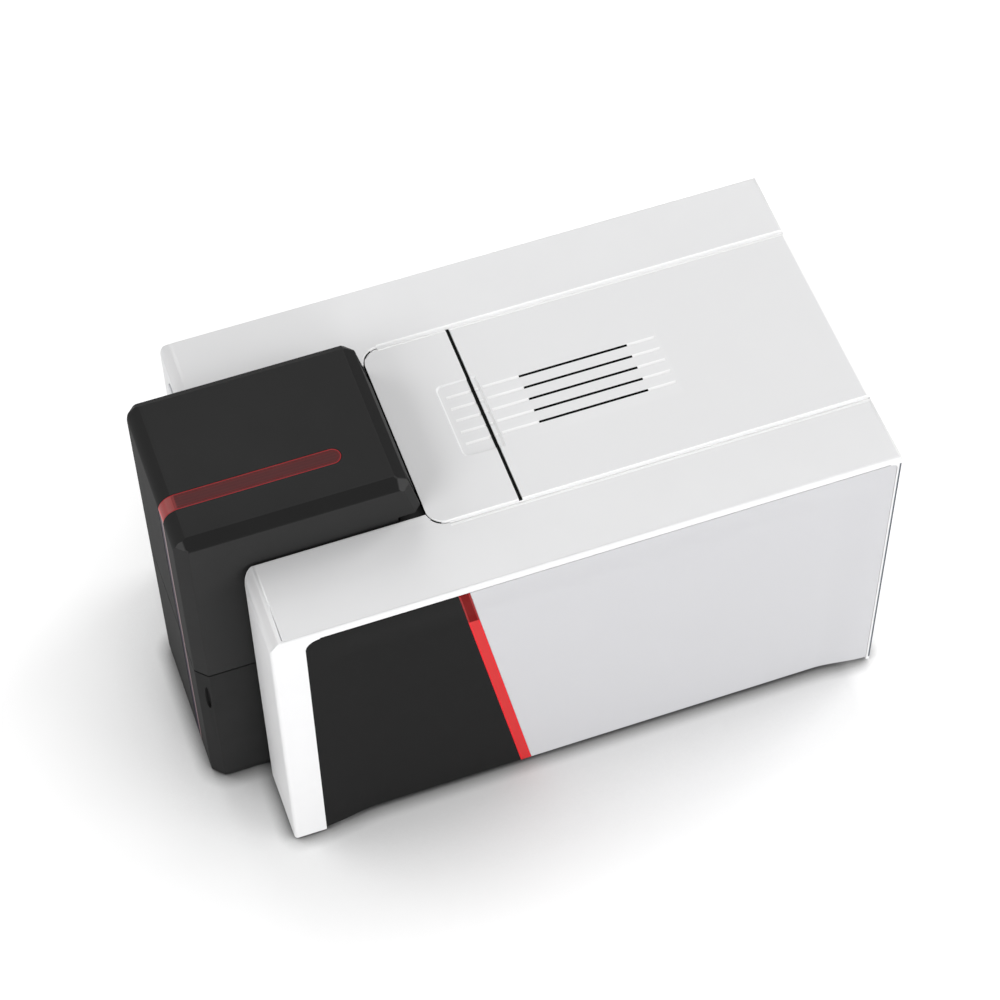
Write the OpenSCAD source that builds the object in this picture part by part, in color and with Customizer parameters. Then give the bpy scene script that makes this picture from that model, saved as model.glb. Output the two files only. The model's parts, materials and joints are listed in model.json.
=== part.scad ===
// Desktop card printer: front feeder over an output hopper, hinged hood over the print engine.
// Millimetres. +Z is up, the feeder faces -Y, and the origin is on the floor under the middle.

/* [Body] */
// Width across both side casings
body_w = 205; // [190:1:260]
// Depth from the feeder's front face to the rear panel
body_d = 380; // [370:1:470]
// Height of the side rails above the floor
rail_top = 204; // [200:1:260]
// Thickness of every moulded wall
wall = 2.5; // [2:0.1:3]
// Height of the rubber feet under the casing
foot_h = 2; // [1:0.5:6]
// Radius of the long outer top edge of a rail
rail_fillet = 2.5; // [2:0.5:8]
// Narrow gap between fixed covers
seam = 0.6; // [0.4:0.1:1.2]

/* [Front columns] */
// How far the columns stand behind the feeder's front face
column_setback = 31.5; // [25:0.5:40]
// Depth of the plain column beside the dark panel
column_d = 18.5; // [14:0.5:26]
// Radius of a column's inner front edge
column_round = 8; // [4:0.5:12]

/* [Side panels] */
// Height of the plain band between a rail's top and the side panel
panel_drop = 5.6; // [4:0.1:10]
// Depth of the shallow dish in each side
dish_depth = 3.4; // [1:0.1:5]
// Length of the dish's front and rear slopes
dish_ramp_y = 32; // [15:1:45]
// Height of the dish's upper slope
dish_ramp_z = 22; // [12:1:35]
// Rounding of the panel's upper corners
panel_round = 8; // [4:0.5:12]
// Width of the slanted accent stripe
stripe_w = 6.2; // [3:0.1:12]
// Lean of the accent stripe from upright, in degrees
stripe_lean = 10; // [4:1:18]
// Place of the stripe's foot along the body
stripe_foot_y = -19.2; // [-40:0.1:20]

/* [Top band] */
// Half of the width of the hood and its bridge
band_half = 60.1; // [57:0.1:66]
// Front edge of the bridge cover
bridge_front = -57.5; // [-60:0.5:-50]
// Middle of the dark gap in front of the hood
hood_gap_y = -8; // [-12:0.5:-4]
// Width of the dark gap in front of the hood
hood_gap = 2; // [1.5:0.1:4]
// Rounding of the bridge's front corners
bridge_round = 10; // [5:0.5:14]
// Small edge break along the band's grooves
edge_break = 1.1; // [0.5:0.1:1.8]

/* [Vents and finger pad] */
// Number of ventilation slots
slot_count = 5; // [3:1:7]
// Spacing of the ventilation slots
slot_pitch = 8; // [6:0.5:10]
// Width of a ventilation slot
slot_w = 1.6; // [1:0.1:2.5]
// Start of the open slots
slot_start = 18; // [12:1:30]
// Length of the open slots
slot_len = 62; // [40:1:80]
// Half of the finger pad's width
pad_half = 23.7; // [18:0.5:30]
// Front edge of the finger pad
pad_front = -26.3; // [-32:0.5:-22]
// Rear edge of the finger pad, on the hood
pad_rear = -4.4; // [-6:0.2:-2]
// Depth of the finger pad
pad_depth = 1.1; // [0.5:0.1:1.5]

/* [Feeder] */
// Width of the feeder and of the hopper below it
feeder_w = 100; // [98:0.5:101]
// Height of the feeder's top above the floor
feeder_top = 234; // [228:1:245]
// Height of the seam between feeder and hopper
feeder_seam = 109; // [106:0.5:110]
// Rear face of the feeder
feeder_rear = -64.5; // [-66:0.5:-62]
// Width of the feeder's chamfers
chamfer = 6.4; // [4:0.1:8]
// Height of the feeder's hinge rod above the floor
feeder_hinge_z = 224; // [222:0.5:226]
// Left edge of the level window
window_x = 16; // [4:0.5:20]
// Width of the level window
window_w = 9.5; // [8:0.5:14]
// Rear end of the level window
window_rear = -92.5; // [-110:1:-84]
// Thickness of the level window
window_t = 1.4; // [1:0.1:1.6]

/* [Cards] */
// Width of a card, across the machine
card_w = 54; // [52:0.5:56]
// Length of a card, along the machine
card_l = 85.6; // [84:0.1:86]
// Thickness of a card
card_t = 0.76; // [0.5:0.02:1]
// Number of blank cards in the feeder
card_count = 60; // [20:1:75]
// Height of the card track above the floor
track_z = 118; // [116:0.5:119]
// Free play of a card on each side
card_play = 1; // [0.5:0.1:1.5]

/* [Print engine] */
// Inner half width between the steel frame plates
frame_half = 42; // [40:0.5:44]
// Thickness of the steel frame plates
plate_t = 1.5; // [1:0.1:2]
// Radius of the roller shafts
shaft_r = 2.5; // [2:0.1:3]
// Running clearance of a shaft in its bush
running = 0.05; // [0.02:0.01:0.09]
// Radius of the rubber drive rollers
drive_r = 6; // [5:0.1:6.5]
// Radius of the idle pinch rollers
pinch_r = 4; // [3.5:0.1:4.4]
// Radius of the sticky cleaning roller
cleaner_r = 7; // [6:0.1:8]
// Free gap between a roller and the card plane
nip = 0.3; // [0.2:0.05:0.5]
// Place of the platen roller and the print head
platen_y = 55; // [52:0.5:58]
// Place of the take-up spool
takeup_y = 10; // [8:0.5:12]
// Place of the supply spool
supply_y = 108; // [106:0.5:112]
// Height of both ribbon spools
spool_z = 150; // [148:0.5:154]

/* [Hood hinge] */
// Distance of the hood's hinge axis in front of the rear face
hinge_inset = 5.5; // [5:0.5:8]
// Depth of the hood's hinge axis under its top
hinge_drop = 6; // [6:0.5:8]
// Radius of the hinge pins
pin_r = 1.5; // [1.2:0.1:1.8]

/* [Gears] */
// Gear module
gear_m = 1; // [0.8:0.1:1]
// Teeth of the motor pinion
pinion_teeth = 14; // [12:1:18]
// Teeth of the platen gear
platen_teeth = 42; // [36:1:44]

/* [Hidden] */
$fn = 48;

half_w = body_w / 2;
rear_y = body_d / 2;
front_y = -body_d / 2;
column_y = front_y + column_setback;
case_z = foot_h;
over = 1;

// Feeder and hopper
feeder_half = feeder_w / 2;
bay_half = feeder_half + 1.6;
cover_z0 = feeder_seam + seam / 2;
door_z1 = feeder_seam - seam / 2;
feeder_hinge_y = feeder_rear - 5.5;
top_chamfer = 5;
cover_lip_z = rail_top + 1.5;
cover_foot_y = bridge_front - 1.2;
slope_top = feeder_top - top_chamfer;
slope_run = (cover_foot_y - feeder_rear) / (slope_top - cover_lip_z);
hopper_hinge_x = -feeder_half + 4.5;
hopper_hinge_y = column_y - 1.5;
plinth_z = case_z + 2.6;
door_z0 = plinth_z + 0.4;
notch_z = [78, 97];

// Top band
skin = rail_top - wall;
bridge_rear = hood_gap_y - hood_gap / 2;
hood_front = hood_gap_y + hood_gap / 2;
rail_inner = band_half + seam;
hood_hinge_y = rear_y - hinge_inset;
hood_hinge_z = rail_top - hinge_drop;
hinge_barrel_r = min(hinge_inset, hinge_drop) - wall;
groove_depth = 0.7;
groove_front = pad_front + 3.1;
groove_end = slot_start + slot_len + 16;

// Side panels
pocket_top = rail_top - panel_drop;
pocket_front = column_y + column_d;
pocket_rear = rear_y - 2;
pocket_x = half_w - 6.5;
backing_x = pocket_x - wall;
panel_gap = 0.15;
panel_z0 = case_z + 1.5;
stripe_front = stripe_foot_y - stripe_w / 2;

// Cards
magazine_half = card_w / 2 + card_play;
magazine_rear = feeder_rear - 20.5;
magazine_front = magazine_rear - card_l - 1.9;
magazine_floor = track_z - 1;
magazine_top = magazine_floor + 71;
deck_z = cover_z0 + 0.1;
stack_z = magazine_floor + 0.05;
stack_h = card_count * card_t;
bulkhead_y = [feeder_rear + 1.2, feeder_rear + 1.2 + wall];
gate_h = 2.2;
exit_z = 84;
exit_h = 8;
chute_t = 1.5;
deck_t = nip + drive_r - shaft_r - 0.8;
tray_z = 12;

// Print engine
roller_z = track_z - nip - drive_r;
pinch_z = track_z + card_t + nip + pinch_r;
cleaner_z = track_z + card_t + nip + cleaner_r;
entry_y = -45;
front_transport_y = 25;
rear_transport_y = 95;
tail_y = 135;
drive_y = [entry_y, front_transport_y, platen_y, rear_transport_y, tail_y];
pinch_y = [front_transport_y, rear_transport_y, tail_y];
bush_r = shaft_r + 1.6;
frame_front = bulkhead_y[1];
frame_rear = rear_y - 14;
frame_top = rail_top - 18;
feed_y = magazine_front + 62;
feed_pulley_x = [-feeder_half + wall + 0.5, -frame_half - plate_t - 0.9];
feed_pulley_r = 6;
gear_x = [-frame_half - plate_t - 6.5, -frame_half - plate_t - 1.5];
pulley_x = [gear_x[0] - 6.5, gear_x[0] - 1];
gear_gap = 0.1;
gear_distance = gear_m * (pinion_teeth + platen_teeth) / 2 + gear_gap;
motor_z = roller_z - gear_distance;
motor_side = 35;
pressure = 20;
// After a gear's turn about Y its own X axis points down, so the platen gear meshes at a tooth
platen_phase = 0;
pinion_phase = 180 + 180 / pinion_teeth;
spool_core = 7;
supply_roll = 14;
takeup_roll = 10;
film_t = 0.3;
film_z = track_z + card_t + nip;
film_half = card_w / 2 + 0.6;
guide_bar_r = 2;
pinch_shaft_r = 1.5;
pinch_bush_r = 3;

// Board, fan and rear ports
board_z = case_z + wall + 8;
board_y = [70, 172];
board_half = 39;
fan_x = 62;
fan_z = 92;
fan_side = 40;
screw_x = 88;
screw_z = [14, 186];
port_z = 40;
inlet_x = -74;
usb_x = -30;
network_x = -8;
switch_x = 74;
button_x = -80;
button_z = 187;
button_r = 6.5;
lens_z = [170, 162, 154, 146];

function smooth(t) = let (u = max(0, min(1, t))) u * u * (3 - 2 * u);
function ramp(from, to, steps) = [for (i = [0:steps]) from + (to - from) * i / steps];

// A box from three [low, high] pairs
module slab(x, y, z) {
    translate([x[0], y[0], z[0]])
        cube([x[1] - x[0], y[1] - y[0], z[1] - z[0]]);
}

// Round bars along each axis, given as a [low, high] pair and a centre
module bar_x(x, y, z, r) {
    translate([x[0], y, z])
        rotate([0, 90, 0])
            cylinder(r = r, h = x[1] - x[0]);
}

module bar_y(x, y, z, r) {
    translate([x, y[0], z])
        rotate([-90, 0, 0])
            cylinder(r = r, h = y[1] - y[0]);
}

module bar_z(x, y, z, r) {
    translate([x, y, z[0]])
        cylinder(r = r, h = z[1] - z[0]);
}

module both_sides() {
    children();
    mirror([1, 0, 0])
        children();
}

// Extrudes a YZ outline along X
module extrude_x(x) {
    translate([x[0], 0, 0])
        rotate([90, 0, 90])
            linear_extrude(x[1] - x[0])
                children();
}

// Extrudes an XZ outline along Y
module extrude_y(y) {
    translate([0, y[1], 0])
        rotate([90, 0, 0])
            linear_extrude(y[1] - y[0])
                children();
}

// The waste outside a quarter circle: a square corner at the origin, rounded towards sx and sy
module corner_waste(r, sx, sy) {
    difference() {
        translate([sx > 0 ? -over : -r, sy > 0 ? -over : -r])
            square([r + over, r + over]);
        translate([sx * r, sy * r])
            circle(r = r);
    }
}

// A flat outline with a rounded corner at its upper left and upper right
module arch(a, b, top, bottom, ra, rb) {
    difference() {
        translate([a, bottom])
            square([b - a, top - bottom]);
        translate([a, top])
            corner_waste(ra, 1, -1);
        translate([b, top])
            corner_waste(rb, -1, -1);
    }
}

// ---- Side casings ----

// The casing's outer form, or the same form one inset further in and open below
module casing_envelope(inset = 0) {
    low = inset > 0 ? -over : case_z;
    inner = bay_half + inset;
    outer = half_w - inset;
    front = column_y + inset;
    top = rail_top - inset;
    intersection() {
        extrude_y([front, rear_y])
            arch(inner, outer, top, low, max(edge_break - inset, 0.3),
                max(rail_fillet - inset, 0.3));
        extrude_x([inner - over, outer + over])
            arch(front, rear_y, top, low, column_round - inset, max(rail_fillet - inset, 0.3));
        translate([0, 0, low])
            linear_extrude(rail_top + 2 * over)
                difference() {
                    translate([inner, front])
                        square([outer - inner, rear_y - front]);
                    translate([inner, front])
                        corner_waste(column_round - inset, 1, 1);
                    translate([outer, front])
                        corner_waste(max(2 - inset, 0.3), -1, 1);
                }
    }
}

// The space that the bridge cover and the hood take between the rails
module band_space(grow) {
    side = band_half + grow;
    slab([-side, side], [bridge_front + bridge_round, rear_y + over], [case_z - over, rail_top + over]);
    slab([bridge_round - band_half, band_half - bridge_round],
        [bridge_front - grow, bridge_front + bridge_round + over], [case_z - over, rail_top + over]);
    both_sides()
        bar_z(band_half - bridge_round, bridge_front + bridge_round, [case_z - over, rail_top + over],
            bridge_round + grow);
}

module panel_outline(gap) {
    arch(pocket_front + gap, pocket_rear - gap, pocket_top - gap, case_z - over, panel_round - gap, 4);
}

module casing() {
    inner_z = 150;
    difference() {
        casing_envelope();
        band_space(seam);
        both_sides()
            translate([0, 0, rail_top])
                groove_break();
        intersection() {
            casing_envelope(wall);
            slab([bay_half, half_w], [column_y, pocket_front - wall], [0, rail_top]);
        }
        slab([bay_half + wall, backing_x], [pocket_front - wall - over, bridge_front - wall], [0, skin]);
        slab([rail_inner + wall, backing_x], [bridge_front - wall - over, rear_y - wall - 6], [0, skin]);
        slab([bay_half - over, backing_x], [bulkhead_y[1] + 4, rear_y - wall], [0, inner_z]);
        slab([rail_inner - over, pocket_x], [rear_y - wall - 0.2, rear_y + over], [0, rail_top - 8]);
        bar_y(screw_x, [rear_y - 12, rear_y], screw_z[1], 1.52);
        extrude_x([pocket_x, half_w + over])
            panel_outline(0);
        slab([pocket_x - over, half_w + over], [pocket_front, pocket_rear], [0, panel_z0]);
    }
    // Ribs stiffen the hollow rail
    for (y = [-100, 0, 60, 120])
        slab([max(bay_half, rail_inner) + 1, backing_x + 0.5], [y, y + wall], [skin - 12, skin + 0.1]);
}

// The edge break along the band's groove, cut into the rail
module groove_break() {
    translate([rail_inner, bridge_front + bridge_round, 0])
        rotate([0, 45, 0])
            translate([-edge_break, 0, -edge_break])
                cube([2 * edge_break, body_d, 2 * edge_break]);
}

module power_column_holes() {
    bar_y(button_x, [column_y - over, column_y + wall + over], button_z, button_r + 0.4);
    for (z = lens_z)
        bar_y(button_x, [column_y - over, column_y + wall + over], z, 1.55);
}

module left_side_casing() {
    color("white")
        difference() {
            mirror([1, 0, 0])
                casing();
            power_column_holes();
        }
}

module right_side_casing() {
    color("white")
        casing();
}

// ---- Side panels ----

// A blank that fills the pocket, dished from the front, the rear and the top
module panel_blank() {
    outer = half_w - 0.2;
    y_front = ramp(pocket_front, pocket_front + dish_ramp_y, 12);
    y_rear = ramp(pocket_rear - dish_ramp_y, pocket_rear, 12);
    z_top = ramp(pocket_top - dish_ramp_z, pocket_top, 12);
    intersection() {
        extrude_x([pocket_x + 0.1, outer])
            difference() {
                panel_outline(panel_gap);
                translate([pocket_front - over, 0])
                    square([pocket_rear - pocket_front + 2 * over, panel_z0 + 1]);
            }
        union() {
            linear_extrude(rail_top)
                polygon(concat([[pocket_x, pocket_front]],
                    [for (y = y_front) [outer - dish_depth * smooth((y - pocket_front) / dish_ramp_y), y]],
                    [for (y = y_rear) [outer - dish_depth * smooth((pocket_rear - y) / dish_ramp_y), y]],
                    [[pocket_x, pocket_rear]]));
            extrude_y([pocket_front, pocket_rear])
                polygon(concat([[pocket_x, 0], [outer - dish_depth, 0]],
                    [for (z = z_top) [outer - dish_depth * smooth((pocket_top - z) / dish_ramp_z), z]],
                    [[pocket_x, pocket_top]]));
        }
    }
}

// The slanted band of the stripe, as a YZ outline shifted along Y
module slanted(from, to) {
    shift = rail_top * tan(stripe_lean);
    polygon([[from, 0], [to, 0], [to - shift, rail_top], [from - shift, rail_top]]);
}

module panel_piece(from, to) {
    intersection() {
        panel_blank();
        extrude_x([pocket_x, half_w])
            slanted(from, to);
    }
}

module front_panel_shape() {
    panel_piece(front_y, stripe_front - 0.1);
}

module stripe_shape() {
    panel_piece(stripe_front, stripe_front + stripe_w);
}

module rear_side_panel_shape() {
    panel_piece(stripe_front + stripe_w + 0.1, 2 * rear_y);
}

module left_front_panel() {
    color([0.14, 0.14, 0.14])
        mirror([1, 0, 0])
            front_panel_shape();
}

module right_front_panel() {
    color([0.14, 0.14, 0.14])
        front_panel_shape();
}

module left_accent_stripe() {
    color([0.8, 0.15, 0.16])
        mirror([1, 0, 0])
            stripe_shape();
}

module right_accent_stripe() {
    color([0.8, 0.15, 0.16])
        stripe_shape();
}

module left_rear_side_panel() {
    color([0.82, 0.82, 0.83])
        mirror([1, 0, 0])
            rear_side_panel_shape();
}

module right_rear_side_panel() {
    color([0.82, 0.82, 0.83])
        rear_side_panel_shape();
}

// ---- Base, bulkhead and rear panel ----

module foot_places() {
    for (x = [-78, 78], y = [column_y + 20, rear_y - 25])
        translate([x, y, 0])
            children();
}

module base_tray() {
    floor_top = case_z + wall;
    side = backing_x - 0.2;
    color([0.25, 0.25, 0.26])
        difference() {
            union() {
                slab([-side, side], [bulkhead_y[0], rear_y - wall - 0.1], [case_z, floor_top]);
                both_sides()
                    slab([bay_half + wall + 0.1, side], [pocket_front - wall - 1, bulkhead_y[0] + 1],
                        [case_z, floor_top]);
                both_sides()
                    intersection() {
                        casing_envelope(wall + 0.1);
                        slab([bay_half, half_w], [column_y, pocket_front - wall - 0.1],
                            [case_z, floor_top]);
                    }
                both_sides()
                    slab([side - wall, side], [column_y + 14, rear_y - wall - 0.1], [case_z, floor_top + 12]);
                for (x = [-34, 34], y = board_y)
                    bar_z(x, y + (y > 120 ? -6 : 6), [case_z, board_z], 3.2);
                for (x = [-screw_x, screw_x])
                    slab([x - 4, x + 4], [rear_y - 14, rear_y - wall - 0.1], [case_z, 20]);
                for (y = [-30, 20])
                    slab([-side, side], [y, y + wall], [case_z, floor_top + 3]);
            }
            // Room for the webs that close the side casings behind the feeder bay
            both_sides() {
                slab([bay_half - 0.1, rail_inner + wall + 0.1],
                    [bridge_front - wall - 0.1, bulkhead_y[1] + 4.1], [0, floor_top + over]);
                slab([bay_half - 0.1, bay_half + wall + 0.1],
                    [bulkhead_y[0] - over, bridge_front - wall], [0, floor_top + over]);
            }
            foot_places()
                translate([0, 0, case_z - over])
                    cylinder(r = 2.05, h = wall + 2 * over);
            for (x = [-screw_x, screw_x])
                bar_y(x, [rear_y - 12, rear_y], screw_z[0], 1.52);
        }
}

module rubber_feet() {
    color([0.1, 0.1, 0.1])
        foot_places() {
            cylinder(r = 9, h = foot_h);
            cylinder(r = 2, h = foot_h + wall);
        }
}

module front_bulkhead() {
    half = bay_half - 0.2;
    slot = magazine_half;
    color([0.85, 0.85, 0.86])
        difference() {
            slab([-half, half], bulkhead_y, [case_z + wall, rail_top - 4]);
            slab([-slot, slot], [bulkhead_y[0] - over, bulkhead_y[1] + over], [track_z - 2, track_z + 4]);
            slab([-slot, slot], [bulkhead_y[0] - over, bulkhead_y[1] + over], [exit_z, exit_z + exit_h]);
            slab([-feeder_half + 2, -frame_half], [bulkhead_y[0] - over, bulkhead_y[1] + over],
                [roller_z - 9, roller_z + 9]);
        }
}

module port_opening(x, z, w, h) {
    slab([x - w / 2, x + w / 2], [rear_y - wall - over, rear_y + over], [z - h / 2, z + h / 2]);
}

module rear_panel() {
    half = pocket_x - 0.2;
    panel = [rear_y - wall, rear_y];
    color([0.2, 0.2, 0.21])
        difference() {
            union() {
                slab([-half, half], panel, [case_z + 2, hood_hinge_z - 5.5]);
                both_sides()
                    slab([rail_inner + 0.2, half], panel, [case_z + 2, rail_top - 8.2]);
            }
            for (x = [-screw_x, screw_x], z = screw_z)
                bar_y(x, [rear_y - wall - over, rear_y + over], z, 3.2);
            for (r = [5.5, 10.5, 15.5])
                fan_ring(r);
            port_opening(inlet_x, port_z, 14.4, 12.4);
            port_opening(usb_x, port_z, 13.4, 12.4);
            port_opening(network_x, port_z, 17.4, 15.4);
            port_opening(switch_x, port_z, 13.6, 20.6);
            for (i = [0:5], side = [-1, 1])
                slab([side * 30 + i * 7 - 19, side * 30 + i * 7 - 16], [rear_y - wall - over, rear_y + over],
                    [130, 165]);
        }
}

// One ring of the fan grille, left in four spokes
module fan_ring(r) {
    difference() {
        bar_y(fan_x, [rear_y - wall - over, rear_y + over], fan_z, r + 1.6);
        bar_y(fan_x, [rear_y - wall - 2 * over, rear_y + 2 * over], fan_z, r - 1.6);
        slab([fan_x - 1.2, fan_x + 1.2], [rear_y - wall - 2 * over, rear_y + 2 * over],
            [fan_z - 20, fan_z + 20]);
        slab([fan_x - 20, fan_x + 20], [rear_y - wall - 2 * over, rear_y + 2 * over],
            [fan_z - 1.2, fan_z + 1.2]);
    }
}

module casing_screws() {
    color("silver")
        for (x = [-screw_x, screw_x], z = screw_z) {
            bar_y(x, [rear_y - wall, rear_y - 0.3], z, 2.9);
            bar_y(x, [rear_y - 11, rear_y - wall + 0.1], z, 1.5);
        }
}

// ---- Top band: bridge cover and hood ----

// The closed outline of the band between two depths, with the groove's edge break
module band_piece(y, z) {
    difference() {
        intersection() {
            band_space(0);
            slab([-band_half, band_half], y, z);
        }
        both_sides()
            translate([band_half, 0, rail_top])
                rotate([0, 45, 0])
                    cube([edge_break * sqrt(2), 3 * body_d, edge_break * sqrt(2)], center = true);
    }
}

module pad_cut(y) {
    slab([-pad_half, pad_half], y, [rail_top - pad_depth, rail_top + over]);
}

// Shallow grooves on the slots' lines between two depths
module groove_lines(y, top) {
    for (i = [0:slot_count - 1])
        let (x = (i - (slot_count - 1) / 2) * slot_pitch)
            slab([x - slot_w / 2, x + slot_w / 2], y, [top - groove_depth, rail_top + over]);
}

module front_bridge_cover() {
    skirt_z = frame_top;
    color("white")
        difference() {
            band_piece([bridge_front, bridge_rear], [skirt_z, rail_top]);
            slab([-band_half + wall, band_half - wall], [bridge_front + bridge_round, bridge_rear - wall],
                [skirt_z - over, skin]);
            slab([-frame_half + 2, frame_half - 2], [bridge_front + wall, bridge_front + bridge_round + over],
                [skirt_z - over, skin]);
            pad_cut([pad_front, bridge_rear + over]);
            groove_lines([groove_front, bridge_rear + over], rail_top - pad_depth);
        }
}

module hood() {
    lip_z = rail_top - 8;
    side_z = rail_top - 10;
    side_rear = rear_y - 16;
    knuckle_x = [46, 56];
    color("white")
        difference() {
            union() {
                intersection() {
                    difference() {
                        band_piece([hood_front, rear_y], [side_z, rail_top]);
                        slab([-band_half + wall, band_half - wall], [hood_front + wall, rear_y - wall],
                            [side_z - over, skin]);
                        slab([-band_half - over, band_half + over], [side_rear, rear_y + over],
                            [side_z - over, lip_z]);
                    }
                    extrude_x([-band_half, band_half])
                        arch(hood_front, rear_y, rail_top, side_z, 0.6, rail_fillet);
                }
                both_sides()
                    bar_x(knuckle_x, hood_hinge_y, hood_hinge_z, hinge_drop - wall + 0.5);
                for (y = [100, 130])
                    slab([-band_half + 1, band_half - 1], [y, y + 2], [skin - 3, skin + 0.1]);
            }
            both_sides()
                bar_x([knuckle_x[0] - over, knuckle_x[1] + over], hood_hinge_y, hood_hinge_z,
                    pin_r + running);
            slab([-band_half - over, band_half + over], [hood_front - over, hood_front + wall + over],
                [side_z - over, lip_z]);
            pad_cut([hood_front - over, pad_rear]);
            groove_lines([pad_rear + 1.4, groove_end], rail_top);
            for (i = [0:slot_count - 1])
                let (x = (i - (slot_count - 1) / 2) * slot_pitch)
                    slab([x - slot_w / 2, x + slot_w / 2], [slot_start, slot_start + slot_len],
                        [skin - over, rail_top + over]);
        }
}

module hinge_crossmember() {
    bar_y0 = hood_hinge_y - 20;
    arm_x = [39.5, 45.5];
    color([0.6, 0.61, 0.63])
        difference() {
            union() {
                slab([-56, 56], [bar_y0, bar_y0 + 6], [frame_top, frame_top + 14]);
                both_sides() {
                    slab(arm_x, [bar_y0 + 5, hood_hinge_y],
                        [hood_hinge_z - hinge_barrel_r, hood_hinge_z + hinge_barrel_r - 0.1]);
                    bar_x(arm_x, hood_hinge_y, hood_hinge_z, hinge_barrel_r);
                }
            }
            both_sides()
                bar_x([arm_x[0] - over, arm_x[1] + over], hood_hinge_y, hood_hinge_z, pin_r + 0.02);
        }
}

module hood_hinge_pin() {
    color("silver")
        bar_x([-57, 57], hood_hinge_y, hood_hinge_z, pin_r);
}

module print_head_bracket() {
    cheek_x = [31.6, 34];
    front = platen_y - 15;
    rear = platen_y + 16;
    bar_z0 = film_z + film_t + nip + guide_bar_r;
    color([0.22, 0.22, 0.24]) {
        both_sides()
            slab(cheek_x, [front, rear], [film_z + 0.9, 150]);
        slab([-cheek_x[1], cheek_x[1]], [platen_y - 9, platen_y + 11], [146, skin]);
        for (y = [front + 1.5, rear - 2.5])
            bar_x([-cheek_x[0] - 0.5, cheek_x[0] + 0.5], y, bar_z0, guide_bar_r);
    }
}

module print_head() {
    edge_z = film_z + film_t + nip;
    color([0.45, 0.3, 0.2]) {
        slab([-31.4, 31.4], [platen_y - 3, platen_y + 3], [edge_z, edge_z + 8]);
        slab([-31.4, 31.4], [platen_y - 6, platen_y + 7], [edge_z + 7.9, edge_z + 12]);
        for (i = [0:5])
            slab([-31.4, 31.4], [platen_y - 6 + i * 2.36, platen_y - 4.8 + i * 2.36],
                [edge_z + 11.9, 145.8]);
    }
}

// ---- Feeder ----

// Plan of the feeder, an octagon inset by one wall or less
module gem_plan(inset) {
    c = chamfer - inset * 0.586;
    half = feeder_half - inset;
    front = front_y + inset;
    rear = feeder_rear - inset;
    polygon([[-half, front + c], [-half + c, front], [half - c, front], [half, front + c],
        [half, rear - c], [half - c, rear], [-half + c, rear], [-half, rear - c]]);
}

// An outline from a to b whose upper corners are cut by w across and h down
module chamfered(a, b, top, w, h) {
    polygon([[a, 0], [b, 0], [b, top - h], [b - w, top], [a + w, top], [a, top - h]]);
}

module gem(inset) {
    w = chamfer - inset * 0.5;
    h = top_chamfer - inset * 0.3;
    top = feeder_top - inset;
    intersection() {
        linear_extrude(top)
            gem_plan(inset);
        extrude_y([front_y, feeder_rear])
            chamfered(-feeder_half + inset, feeder_half - inset, top, w, h);
        extrude_x([-feeder_half, feeder_half])
            chamfered(front_y + inset, feeder_rear - inset, top, w, h);
    }
}

// The cover's rear, which slopes back from below the top chamfer to just short of the bridge
module rear_slope(inset) {
    half = feeder_half - inset;
    rear = feeder_rear - inset;
    corner_y = rear - chamfer + inset * 0.586;
    low = cover_lip_z - over;
    start = corner_y - wall;
    lean = atan(slope_run / sqrt(2));
    difference() {
        extrude_x([-half, half])
            polygon([[start, low], [rear + slope_run * (slope_top - low), low],
                [rear, slope_top], [start, slope_top]]);
        both_sides()
            translate([half, corner_y, slope_top])
                rotate([0, -lean, 45])
                    translate([0, -20, -40])
                        cube([20, 60, 60]);
    }
}

// The long round-ended path of the level window, seen from above
module window_path(gap) {
    half = window_w / 2 + gap;
    middle = window_x + window_w / 2;
    translate([middle - half, front_y - over])
        square([2 * half, window_rear - window_w / 2 - front_y + over]);
    translate([middle, window_rear - window_w / 2])
        circle(r = half);
}

module window_solid(gap, z) {
    difference() {
        intersection() {
            gem(0);
            translate([0, 0, z[0]])
                linear_extrude(z[1] - z[0])
                    window_path(gap);
        }
        gem(window_t + gap);
    }
}

module feeder_window() {
    color([0.75, 0.1, 0.12, 0.6])
        window_solid(0, [cover_z0, feeder_top + over]);
}

module feeder_cover() {
    lug_x = [44.2, feeder_half - wall + 0.1];
    color([0.13, 0.13, 0.13])
        difference() {
            union() {
                difference() {
                    union() {
                        gem(0);
                        rear_slope(0);
                    }
                    difference() {
                        union() {
                            gem(wall);
                            rear_slope(wall);
                        }
                        both_sides()
                            translate([lug_x[0], feeder_hinge_y - 4, feeder_hinge_z - 4])
                                cube([10, 8, 40]);
                    }
                    slab([-feeder_half - over, feeder_half + over],
                        [feeder_rear - chamfer - 1.2, cover_foot_y + over], [0, cover_lip_z]);
                }
            }
            slab([-feeder_half - over, feeder_half + over], [front_y - over, feeder_rear + over],
                [-over, cover_z0]);
            window_solid(0.05, [0, feeder_top + over]);
            slab([window_x + window_w / 2 - 3, window_x + window_w / 2 + 3],
                [front_y - over, front_y + wall + over], [magazine_floor + 8, magazine_top]);
            both_sides()
                slab([36.5, 43.6], [feeder_rear - 4, cover_foot_y + over], [0, feeder_hinge_z + 3.5]);
            bar_x([-feeder_half + wall, feeder_half - wall], feeder_hinge_y, feeder_hinge_z,
                pin_r + running);
        }
}

module feeder_hinge_rod() {
    color("silver")
        bar_x([-feeder_half + wall + 0.4, feeder_half - wall - 0.4], feeder_hinge_y, feeder_hinge_z,
            pin_r);
}

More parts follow.
